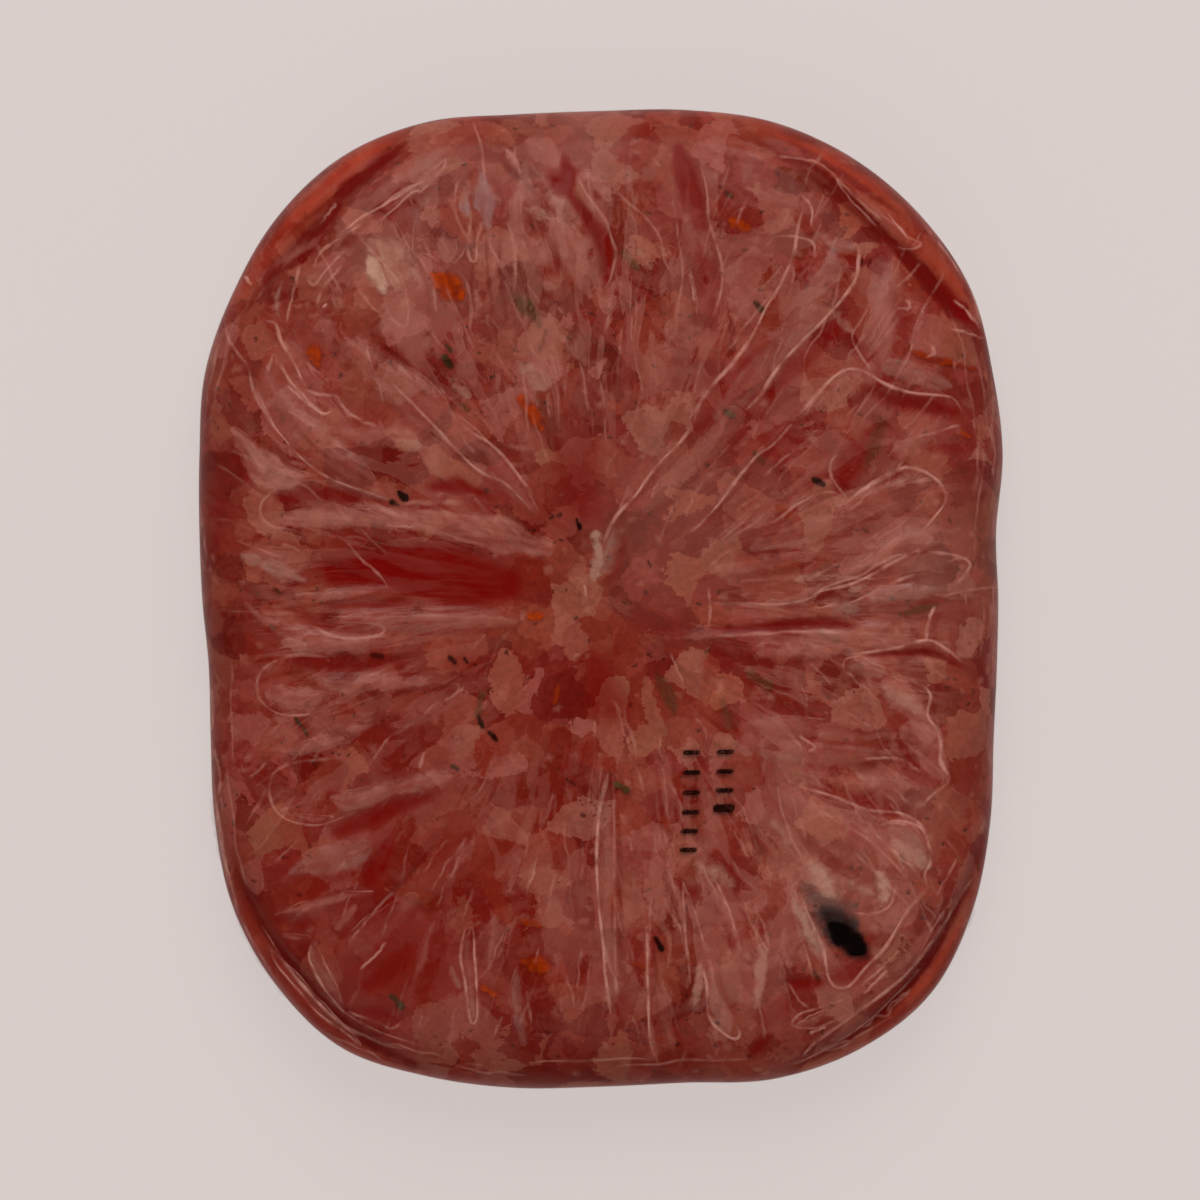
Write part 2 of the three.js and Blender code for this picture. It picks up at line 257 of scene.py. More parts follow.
    (((-42.6, 78.4, 0.8), (-49, 73.2, 1.6), (-55.4, 66.6, 1.6), (-59.8, 60, 0.8)), 0.3, 0.2, 0.3),
    (((-46.6, 66, 1), (-50, 62.4, 2.4), (-54.6, 60, 2), (-58.6, 57.6, 1)), 0.35, 0.2, 0.4),
    (((30.4, 81.5, 1), (38, 78.6, 2.2), (46, 73.7, 2.4), (53.7, 67.7, 1)), 0.7, 0, 0.4, Tint.GLOW),
    (((42, 74, 0.8), (47.6, 68.4, 2.2), (52.6, 63.6, 2.4), (56, 61.6, 1.2)), 0.4, 0.2, 0.4),
    (((58.4, 60, 1.2), (62, 55.6, 2.4), (64.6, 51.6, 1.2)), 0.4, 0, 0.4, Tint.GLOW),
    (((65, -53, 1), (61, -60, 2), (56.4, -67, 2.2), (50, -73.6, 1)), 0.6, 0, 0.4, Tint.GLOW),
    (((60.4, -51, 1), (56.6, -58.6, 2.4), (51, -66, 2.8), (44, -72.6, 2.2), (36, -78, 1)), 0.3, 0.2, 0.3),
    # At the far side.
    (((-38, 68, 1.2), (-33, 70.8, 1.4), (-30.6, 72.8, 1.2), (-27.8, 75.8, 1)), 0.47, 0.8, 0.4),
    (((-27.6, 63.4, 3), (-26.6, 60.4, 4), (-25.8, 58.6, 1.8)), 0.54, 0.4, 0.7),
    (((-23.2, 71.6, 1), (-23.6, 68.6, 2.4), (-22.4, 66.6, 1.4)), 0.65, 0.2, 0.8, Tint.LILAC),
    (((-21, 75, 1.6), (-20.4, 71.6, 4), (-19.8, 68, 4.4), (-19.4, 64.6, 2.2)), 0.55, 0.3, 1.5, Tint.LILAC),
    (((-9, 66.8, 3), (-5.6, 62.6, 6), (-3.4, 57.4, 4), (-1.6, 52.6, 2)), 0.49, 0.3, 1),
    (((-14.6, 71.6, 2.6), (-14.4, 67.6, 4.4), (-15, 63.6, 2.2)), 0.43, 0.3, 0.8),
    (((-16.6, 78.8, 1), (-15.4, 77.4, 2.4), (-13.8, 74.4, 1)), 0.81, 0.2, 0.4),
    (((-13.4, 80, 3), (-9.6, 78.4, 5), (-7.4, 75.6, 3)), 0.41, 0.2, 0.6),
    (((-2.8, 75, 1.6), (0, 72.4, 3.4), (2, 69.4, 2)), 0.57, 0.4, 0.7),
    (((-10.2, 55.2, 2), (-7.4, 54.4, 2.8)), 0.57, 0.2, 0.4),
    (((-7.4, 51.2, 1.2), (-6.4, 49.8, 1.8)), 0.68, 0.2, 0.2),
    (((-21.6, 54.4, 0.9), (-21.4, 51.6, 1.4), (-21.8, 49.6, 0.7)), 0.81, 0.2, 0.3),
    (((-32, 66.4, 1.2), (-31.6, 61, 2.2), (-29.6, 55.6, 2.6), (-29.2, 51, 1.4)), 0.34, 0.5, 0.8),
    (((-55.4, 56, 0.8), (-56.4, 51.6, 1.4), (-55.6, 48.2, 1)), 0.68, 0.4, 0.4, Tint.GREY),
    (((-50.2, 46.6, 2), (-48, 48, 3.2), (-46.4, 45.2, 2.2)), 0.4, 0.3, 1.1),
    (((4.6, 34, 2), (4.8, 42, 3), (5.2, 50, 2)), 0.22, 0.4, 0.9),
))

CREASES: tuple[Crease, ...] = tuple(Crease(*row) for row in (
    # At the left.
    (((-60.2, 37.1), (-56.2, 29.6), (-48.6, 22), (-36.2, 17.3)), 0.7),
    (((-54.8, 37.6), (-51, 34.2), (-48.6, 32.6), (-46.6, 32.9)), 0.8),
    (((-46.6, 35.4), (-44.2, 33.1), (-41.7, 31.2), (-38.9, 30.4)), 0.5),
    (((-36.6, 38.2), (-28.1, 29.6), (-25.8, 26.9), (-20.5, 22), (-16.9, 20.6), (-11.5, 15.3)), 0.8),
    (((-24, 30.4), (-17.3, 25.6), (-12.9, 19.8), (-10.6, 14.8)), 0.7),
    (((-36.1, 16.6), (-30.7, 17), (-24, 17)), 0.42, 1.3),
    (((-52.6, 11.9), (-57.9, 13.2), (-59.3, 15.8), (-57.2, 18.9), (-53, 19.4)), 0.45),
    (((-37.9, 12.9), (-35, 12.9), (-32, 12.5)), 0.45),
    (((-47.5, -9.9), (-52.5, -9.6), (-56.6, -10.6), (-59.2, -12.6), (-59.9, -15.4), (-58.9, -18),
      (-55.4, -20), (-50.8, -20), (-46.4, -18.2)), 0.6),
    (((-50.8, -4.2), (-45.9, -6.6), (-41, -6.6), (-37.7, -5.7), (-38.4, -4.4), (-42, -4.2)), 0.6),
    (((-44.6, 10.6), (-41.4, 6.9), (-38.4, 4.2), (-37, 2)), 0.5),
    (((-68.4, -14.5), (-67.7, -19), (-68, -23.5)), 0.6),
    (((-67.4, -26), (-66.4, -31), (-67, -35)), 0.6),
    # At the near left.
    (((-46, -27.6), (-54, -28.6), (-57.4, -31), (-57.5, -35), (-55, -38.2), (-50, -39.4), (-45, -38),
      (-41.6, -36.6)), 0.5),
    (((-44, -60), (-39.5, -54.5), (-36, -50.8)), 0.6),
    (((-37.2, -59.7), (-39.4, -62.2), (-42, -64.5)), 0.7),
    (((-67.6, -30.6), (-66.8, -40), (-64.6, -49.8), (-62.4, -56.4), (-57.2, -65.8), (-52.6, -71.4)), 0.7),
    (((-57.7, -60.8), (-56.2, -64.1), (-52.7, -68.3), (-49, -72.5), (-43.7, -76.4), (-41.9, -77.9)), 0.8,
     0.6),
    (((-57.7, -60.8), (-54.4, -64.1), (-50.2, -69.2), (-46, -73.7), (-43.7, -75.5)), 0.7, 0.6),
    (((-49.9, -59.2), (-50.8, -61.7), (-49.9, -64.7), (-47.8, -68.3), (-44.3, -72.5)), 0.8, 0.6),
    (((-49.9, -59.2), (-49, -61.1), (-47.3, -64.8), (-45.8, -67.7), (-44.9, -70.7)), 0.6, 0.6),
    (((-44.3, -71.9), (-38.9, -73.7), (-36.5, -74.9), (-34.1, -73.2)), 0.5, 0.6),
    (((-66.9, -37), (-65.9, -43), (-64.9, -49)), 0.6),
    (((-31.4, -29.4), (-30.6, -26.4)), 0.5),
    # At the near side.
    (((-23.4, -56.8), (-24.3, -61.9), (-23.5, -66.9), (-22.6, -73.6), (-21.5, -73.4), (-21.4, -69.7),
      (-21.8, -62.4), (-22.2, -57.2), (-23.2, -56.9)), 0.9, 0.7),
    (((14.4, -48.7), (14.9, -57.8), (15.3, -62.3), (15.8, -66.9)), 0.5),
    (((20, -48.7), (22.6, -54.4), (24.5, -61.4)), 0.6),
    (((1.4, -30.2), (-0.2, -37.5), (-0.7, -45), (-0.2, -52.5), (0.4, -59), (1, -66), (1.8, -72.4)), 1, 0.85),
    (((2.4, -30), (2.5, -38), (2.4, -46), (2.6, -58), (3, -70)), 0.35),
    (((8, -56), (8.2, -62), (8.4, -70), (8.9, -77.6), (10.2, -80.8)), 0.9),
    (((14.4, -49), (16.6, -54.5), (18.4, -60.5)), 0.5),
    (((18.2, -63.5), (18.6, -67.5), (19.2, -73), (21.6, -75.6), (23.6, -76.6), (24.4, -75.6), (23.4, -73.4)),
     0.9),
    (((16.4, -20.4), (18.2, -22.4), (18.6, -25)), 0.5),
    (((9, -51), (8.6, -58), (8.6, -63)), 0.5),
    # At the near right.
    (((35, -52), (37.2, -56.8), (39, -61), (39.8, -65.5), (41.2, -67.6), (43.6, -67.4), (46.4, -64.2),
      (49.8, -60.4), (51.8, -57.2), (54.2, -53.6), (57.4, -50.2)), 0.9, 0.85),
    (((57.4, -50.2), (56.6, -48), (57.6, -46), (57.6, -43.4), (55.8, -39.6), (51.5, -38.6), (48.5, -39.4)),
     0.7),
    (((30.8, -32.6), (32, -37.5), (34, -42.8), (36.2, -45.6)), 0.6),
    (((34.6, -32.4), (41, -34.4), (47, -36.6), (53, -37.4), (56.6, -40.2), (57.6, -44)), 0.7),
    (((48, -40.8), (50.6, -43.2), (53.2, -45.6), (55, -46.8)), 0.7),
    (((38, -36.5), (42.4, -39.2), (47, -42), (51, -45.5), (54.5, -50)), 0.4),
    (((56.2, -64.1), (50.2, -70.7), (44.3, -75.4), (38.3, -79.1), (33.4, -81.5)), 0.6, 0.6),
    (((62.4, -45), (60.6, -48.6), (58.8, -51.6)), 0.7, 0.6),
    (((52.4, -61), (49, -64.4), (45.6, -67.4)), 0.6, 0.6),
    (((43, -69.6), (38, -71.4), (34.8, -72.4), (33.6, -74.4), (38, -74.6), (42.6, -72.8)), 0.6, 0.6),
    (((44.5, -54.6), (47.5, -54.8), (50.6, -53.2), (51.6, -50)), 0.6),
    (((57.8, -21.6), (59.4, -24.6), (59.6, -28.4), (61, -31.4), (58.2, -34), (55.4, -36.4)), 0.9, 0.85),
    (((34.6, -23.6), (37.4, -25.6), (36.2, -26.4)), 0.6),
    (((46, -27.6), (52, -27.8), (56, -30)), 0.7),
    (((65.9, -47.7), (62.6, -52.4), (58.9, -58.5), (54.2, -64.6), (48.1, -69.8), (41, -74.9), (36.8, -78.2)),
     0.7, 0.85),
    (((60.2, -54.2), (57.5, -58.2)), 0.7),
    (((50.2, -64.6), (45.8, -69)), 0.7),
    (((39.6, -74.6), (36.4, -75.8)), 0.9),
    (((35.6, -79.6), (37.6, -77.2)), 0.8),
    (((49.8, -38.9), (54, -39.2)), 0.6),
    (((66.4, -37.4), (67.2, -39), (66.6, -40.2)), 0.4),
    # At the right.
    (((16.3, 30.5), (13.9, 27.5), (10.4, 24), (6.4, 18.6), (2.4, 14.1), (0.5, 10.1)), 0.9, 0.85),
    (((-2.6, 2.6), (-2.4, 0.4)), 0.8),
    (((33.7, 31), (30.7, 27.5), (27.3, 25), (24.8, 22.1), (21.8, 18.1), (18.8, 14.6), (15.4, 11.6)), 0.8),
    (((35, 27), (31, 23.8), (28.6, 21.6)), 0.5),
    (((43.5, 17.6), (48, 20.4), (51.6, 22.4), (53.6, 23.2), (57.4, 22), (60, 19.4), (60.2, 16.8),
      (57.6, 13.6), (56, 11.8)), 1, 0.85),
    (((44, 18.2), (49, 21.4), (52.6, 23.4)), 0.7),
    (((58, 11.4), (56.5, 9.2), (50.6, 6.2), (44.6, 3), (38.2, 1.4), (36.2, 0.1), (30, -0.9), (24.5, -0.4)),
     0.8),
    (((43, 18), (40.6, 21), (40.2, 23.6), (41.5, 25.6)), 0.5),
    (((55, 28.4), (59, 29.4), (63, 30.6)), 0.5),
    (((36.8, -1), (38.6, 1.8), (45.6, 4.4), (51.6, 7.6), (57, 8.8)), 0.7),
    (((37, -1.4), (43.6, -0.4), (50, 2.6), (55.2, 4.6)), 0.7),
    (((57, 8.4), (62, 7.8), (64.6, 6.4), (63.6, 4.2), (61.4, 2.2)), 0.6),
    (((20.4, -6.2), (28, -6), (37, -5.4), (41.5, -5.8)), 0.5),
    (((58.4, -0.9), (57.2, -4), (57, -7)), 0.9),
    (((42.6, -9.6), (50, -8.8), (57, -7), (60.4, -8.6), (63.4, -11)), 0.9),
    (((46, -9.6), (42.8, -10.4), (42.6, -12.4), (44.6, -13.4)), 0.6),
    (((54, -13.6), (57.6, -16.4), (57, -20), (59.2, -23), (59.6, -27)), 0.8),
    (((18.9, 2.2), (19.2, -2), (18.8, -5)), 0.5),
    (((30, 13.4), (35, 17), (39, 18.8), (41.6, 18.6)), 0.6),
    # At the far right.
    (((35.3, 68.4), (34.4, 63.9), (33.7, 59.9), (31.2, 54.5), (29, 51), (26.8, 46.5), (24.1, 42.5),
      (21.4, 39.4), (19.6, 37.6), (15.6, 31.5)), 0.9, 0.85),
    (((34.6, 71.2), (37, 68.4), (36.8, 65)), 0.7),
    (((28.6, 61.4), (31, 63.4), (34.6, 63.2), (37.2, 62.2), (37.4, 59.6)), 0.7),
    (((43.2, 63), (45.4, 61.5), (45.1, 59), (44.6, 55.9), (42, 52.3), (38.4, 48.3), (34.8, 44.7),
      (31.2, 40.7), (28.6, 36.7), (25.5, 33)), 1, 0.9),
    (((48.6, 54), (45.6, 49), (44, 46), (45.6, 42.4), (48.2, 38.8)), 0.5),
    (((51.8, 50.8), (54, 51), (53.4, 52.6)), 0.7),
    (((34.4, 31.8), (37.9, 35.8), (41.5, 39.4), (44.2, 40.3), (46.9, 39.4), (49.1, 38), (53.6, 36.2),
      (58, 35.8), (61.6, 35.3), (63.4, 32.7)), 0.9, 0.85),
    (((56.8, 42.4), (58.4, 43), (58, 44.4)), 0.7),
    (((61.8, 42), (62, 39)), 0.5),
    (((31, 77.6), (37.4, 76.6), (40.8, 74.6)), 0.6),
    (((40.4, 74.8), (45, 70), (49.4, 66.2)), 0.5),
    (((48.6, 67.6), (52.6, 64.8), (54.4, 61.8), (56.2, 64.4)), 0.4),
    (((56.4, 65.8), (61, 60), (65, 54), (66.6, 48)), 0.6),
    (((61.6, 52.6), (63.6, 51), (66.6, 47.6)), 0.9),
    (((61, 47.4), (64, 46.8), (67.2, 45.6)), 0.6),
    (((40.6, 74.7), (43.6, 70.2), (49, 64.8)), 0.6, 0.6),
    (((50.2, 67.7), (53.7, 63.5), (56.2, 62.3), (54.3, 61.3), (52, 61.8)), 0.7, 0.6),
    # At the far side.
    (((17.4, 76.5), (18.6, 72), (19, 66), (20.6, 61), (21.4, 57), (20.6, 52), (19, 48)), 0.55),
    (((12.4, 72), (13.6, 64), (14.4, 57), (13.4, 50), (13.2, 46)), 0.39),
    (((15.6, 58), (16.6, 54), (17.2, 48)), 0.31),
    (((15.6, 57), (16.2, 54.2), (16.4, 51.8)), 0.7),
    (((5.8, 51.6), (5.6, 46), (6.4, 41), (7.6, 36)), 0.39),
    (((2.4, 56), (1.6, 51), (1.2, 46)), 0.31),
    (((2.6, 71.6), (9.8, 64.4), (11.2, 59), (13.4, 56)), 0.35),
    (((-38.5, 68.6), (-34, 71.8), (-31.4, 73), (-28.8, 75.6), (-26.6, 77.2)), 0.62),
    (((-26.6, 77.2), (-27.6, 75), (-30, 72.4), (-31.4, 71), (-32.6, 71.2), (-38.5, 66)), 0.62),
    (((-24.6, 74), (-25.4, 70), (-25, 66.6), (-23.6, 63.4), (-24, 60.6), (-25.6, 58.4)), 0.47),
    (((-31, 63.6), (-30, 61), (-28.4, 58.8)), 0.47),
    (((-22.4, 67), (-23, 62), (-22.6, 59.2), (-21.6, 59.4), (-21.6, 62), (-20.6, 66)), 0.55),
    (((-19.6, 67), (-19.2, 62), (-17.6, 59), (-16.4, 56.2)), 0.39),
    (((-16.2, 66), (-15.2, 62.6), (-14.8, 59), (-15, 56.8)), 0.39),
    (((-13.4, 62.8), (-12.6, 60), (-11.6, 57.6)), 0.31),
    (((-14.6, 62.6), (-14.6, 59.4), (-14.8, 56), (-15, 53.6)), 0.35),
    (((-4.4, 74.3), (-1.6, 69.9), (0.9, 66.2), (2.1, 62.8), (2.8, 60.3), (1.8, 55.9), (-0.1, 53.4)), 0.47),
    (((-12.9, 77.8), (-11, 74.6), (-8.6, 72.4)), 0.31),
    (((-24.8, 57.6), (-23.2, 55), (-22.4, 51), (-22.6, 47.6), (-22, 45.8)), 0.39),
    (((-19.6, 50), (-19.4, 47.8), (-18.6, 45.6)), 0.31),
    (((-16.8, 56), (-15.2, 52), (-13.4, 48), (-11.8, 44.6)), 0.27),
    (((-29, 55), (-28.6, 50)), 0.39),
    (((-37.8, 52.6), (-36.6, 49.2), (-34, 47.6), (-33.4, 50), (-34, 54), (-35, 57.6)), 0.31),
    # At the far left.
    (((-46, 69.4), (-49, 65.6)), 0.5),
    (((-46.2, 63.4), (-41, 67), (-36, 70), (-32, 72.6)), 0.8),
    (((-50, 57.6), (-49.4, 60), (-46.6, 62.4), (-43, 64.6), (-41, 66)), 0.6),
    (((-51.2, 56.4), (-50, 54.8), (-48.6, 56.6), (-44.6, 61)), 0.5),
    (((-49.5, 50.6), (-48.4, 54.4), (-45, 58.4)), 0.5),
    (((-58.6, 48.9), (-56.7, 48.1), (-55.6, 45.1), (-53.3, 41.3), (-51.4, 37.1)), 0.8, 0.85),
    (((-52.4, 58.4), (-53.6, 53.4), (-54.8, 48.2)), 0.6),
    (((-62.2, 56.8), (-61, 55)), 0.9),
    (((-65.6, 49), (-64.6, 45), (-61.4, 40.6), (-60.4, 36.4), (-57, 30)), 0.5),
    (((-58, 39.6), (-57, 42.8), (-56.2, 41)), 0.6),
    (((-56, 41.6), (-54, 38), (-50.6, 34.4), (-48.4, 32.6)), 0.7),
    (((-51.4, 36.8), (-49, 35.8), (-46, 35.4), (-44.2, 33), (-41.2, 31.2)), 0.6),
    (((-48.4, 51), (-47.6, 51.8)), 0.8),
    (((-43, 56.4), (-41.8, 53.6), (-38.6, 50)), 0.4),
))

PINCHES: tuple[Pinch, ...] = tuple(Pinch(*row) for row in (
    # At the left.
    (((-56, 18.4, 1), (-50, 18.4, 2), (-43, 18.2, 1.6), (-37, 17, 0.6)), 0.4, 0.7),
    (((-55.6, -11.4, 1.6), (-48, -10.8, 2.6), (-38, -10.2, 2.2), (-29.8, -9.6, 0.8)), 0.45, 0.6),
    (((-41.7, 47.3, 0.6), (-36, 43, 1), (-30.6, 38.9, 1.2), (-25, 35.6, 0.8)), 0.5),
    (((-56.4, 36, 0.8), (-52, 29, 1.2), (-45, 23, 1.2), (-38.6, 19.6, 0.8)), 0.4),
    (((-50, 25.6, 0.6), (-44, 20.6, 1.4), (-37, 17.4, 0.8)), 0.4, 0.7),
    (((-52, 8.6, 0.8), (-46, 6.4, 1.6), (-40.6, 3.4, 1)), 0.35),
    (((-55, -1.4, 0.8), (-50, -3.4, 1.6), (-44, -5.6, 1.2), (-37, -5.6, 0.6)), 0.45, 0.7),
    # At the near side.
    (((-28, -41.6, 0.5), (-33.4, -48, 0.9), (-41.3, -55.8, 1), (-44.8, -60.2, 0.5)), 0.6),
    (((-25, -37, 1.2), (-30.6, -43.6, 1.8), (-37, -50, 1.4)), 0.25),
    (((-45.6, -41, 0.8), (-40, -38, 2), (-33.4, -35.7, 1.6), (-26.4, -32.7, 0.6)), 0.4, 0.8),
    (((3.2, -36, 0.8), (3.4, -46, 1.2), (3.6, -58, 1.2), (4, -70, 0.8)), 0.35),
    (((9.4, -60, 0.6), (9.8, -66, 1), (10, -74, 0.8)), 0.35),
    (((-1.6, -40, 0.6), (-1.8, -50, 1), (-0.8, -62, 0.8)), 0.3),
    (((20.4, -62.6, 0.8), (21, -67.4, 1.6), (23.6, -72.6, 1.4)), 0.35, 0.7),
    # At the right.
    (((36.6, -0.2, 1.2), (42, 3.2, 2.2), (49, 4.9, 2.4), (54.3, 5.3, 1.4)), 0.5, 0.6),
    (((46.6, -9.4, 0.6), (52, -9.2, 1.2), (58, -9.4, 1.4), (63.4, -12, 0.5)), 0.75, 0.5),
    (((22, -5, 0.8), (32, -4.4, 1.6), (40, -3.8, 2.4), (46, -4.8, 1)), 0.6, 0.6),
    (((41.2, 21.6, 1), (42.8, 19, 2.2), (45.2, 19.4, 1.6), (49, 22.6, 0.8)), 0.5, 0.6),
    (((44, 37.4, 0.8), (49, 36.2, 2.2), (56, 34.2, 2.6), (62.6, 32, 1.2)), 0.6, 0.6),
    (((22.4, 34.4, 1.8), (15.5, 27.4, 2.4), (9, 20.6, 2), (4.4, 15.8, 1)), 0.4, 0.5),
    (((40, 36, 1.6), (30.6, 27.2, 1.8), (24.4, 20.4, 1.6), (19, 14.4, 0.8)), 0.35, 0.5),
    (((40, -36, 0.8), (46, -38.6, 1.6), (52, -39.4, 1)), 0.35, 0.6),
    # At the far side.
    (((14.4, 79.4, 1.2), (16.6, 75, 2), (18.6, 67, 1.8), (20.2, 60, 1.4), (20.8, 52, 1)), 0.5, 0.7),
    (((13.5, 65.6, 0.8), (15.4, 60, 1.2), (17, 49, 1.2), (16.3, 45.3, 0.6)), 0.4, 0.6),
    (((-4.6, 72, 1), (-2.4, 67, 1.8), (0.2, 60.6, 1.6), (0.8, 54, 0.9)), 0.5, 0.6),
    (((8, 65.6, 0.8), (11.7, 57.2, 1), (12.6, 49, 0.8)), 0.4, 0.6),
    (((-22.2, 68, 0.6), (-21.8, 61, 0.9), (-22.6, 54, 0.9), (-22, 47.6, 0.5)), 0.55, 0.5),
    (((-19.4, 66, 0.6), (-19.8, 60, 0.9), (-19, 53, 0.9), (-19.2, 47.6, 0.5)), 0.5, 0.5),
    (((-17.4, 64, 0.6), (-17.6, 57, 0.9), (-16.4, 50, 0.8), (-16.8, 45.4, 0.5)), 0.5, 0.5),
    (((-29.8, 65.6, 0.6), (-27.5, 59, 1), (-25.2, 52.7, 1), (-24.2, 48, 0.5)), 0.45, 0.5),
    (((-33, 62.8, 0.6), (-29.8, 53.6, 1), (-30.3, 49, 0.6)), 0.4, 0.5),
    (((-8.2, 64, 0.6), (-7, 58, 1.2), (-5.6, 51, 0.8)), 0.35, 0.6),
    # In the corner tucks.
    (((-33, 80.6, 0.8), (-39, 75.8, 1.8), (-43.6, 72.8, 2.2), (-46.2, 70.2, 1.8), (-48, 69, 0.8)), 0.95, 0.7),
    (((-44.4, 71.4, 1.2), (-46.4, 68.2, 2), (-48.6, 64.4, 2.4), (-51, 60.8, 2.4), (-53.4, 58.8, 1.8),
      (-57, 56.8, 0.6)), 0.95, 0.7),
    (((29, 78.2, 0.6), (33.9, 76.9, 0.9), (38.4, 75.1, 1.2), (42.9, 71.1, 1.2), (47.3, 66.6, 1.4),
      (51.3, 62.1, 1.6), (54.9, 58.6, 3), (58, 54.8, 3.4), (60.4, 51, 1.8), (62.6, 48, 1),
      (67, 46, 0.6)), 0.9, 0.65),
    (((32.7, 80.3, 0.6), (39.9, 76.3, 1.4), (46, 71.6, 1.6), (53, 67.4, 0.8)), 0.6, 0.8),
    (((61.2, 52.6, 1), (63, 50.6, 3.2), (64.4, 48.6, 2.4), (66.6, 46.8, 0.8)), 0.85, 1),
    (((-61, -54.8, 0.6), (-55.6, -61.8, 1.2), (-50.2, -69.5, 1.6), (-44.3, -75.5, 1.6), (-36.5, -79.4, 1),
      (-30, -81.8, 0.6)), 0.85, 0.55),
    (((66.4, -47.3, 0.6), (61.6, -55.1, 1.2), (59.2, -59.9, 1.6), (54.4, -66.5, 1.8), (50.2, -71.2, 1.6),
      (44.3, -76.3, 1.4), (39.5, -79.1, 1), (34.7, -81.7, 0.6)), 0.9, 0.65),
))

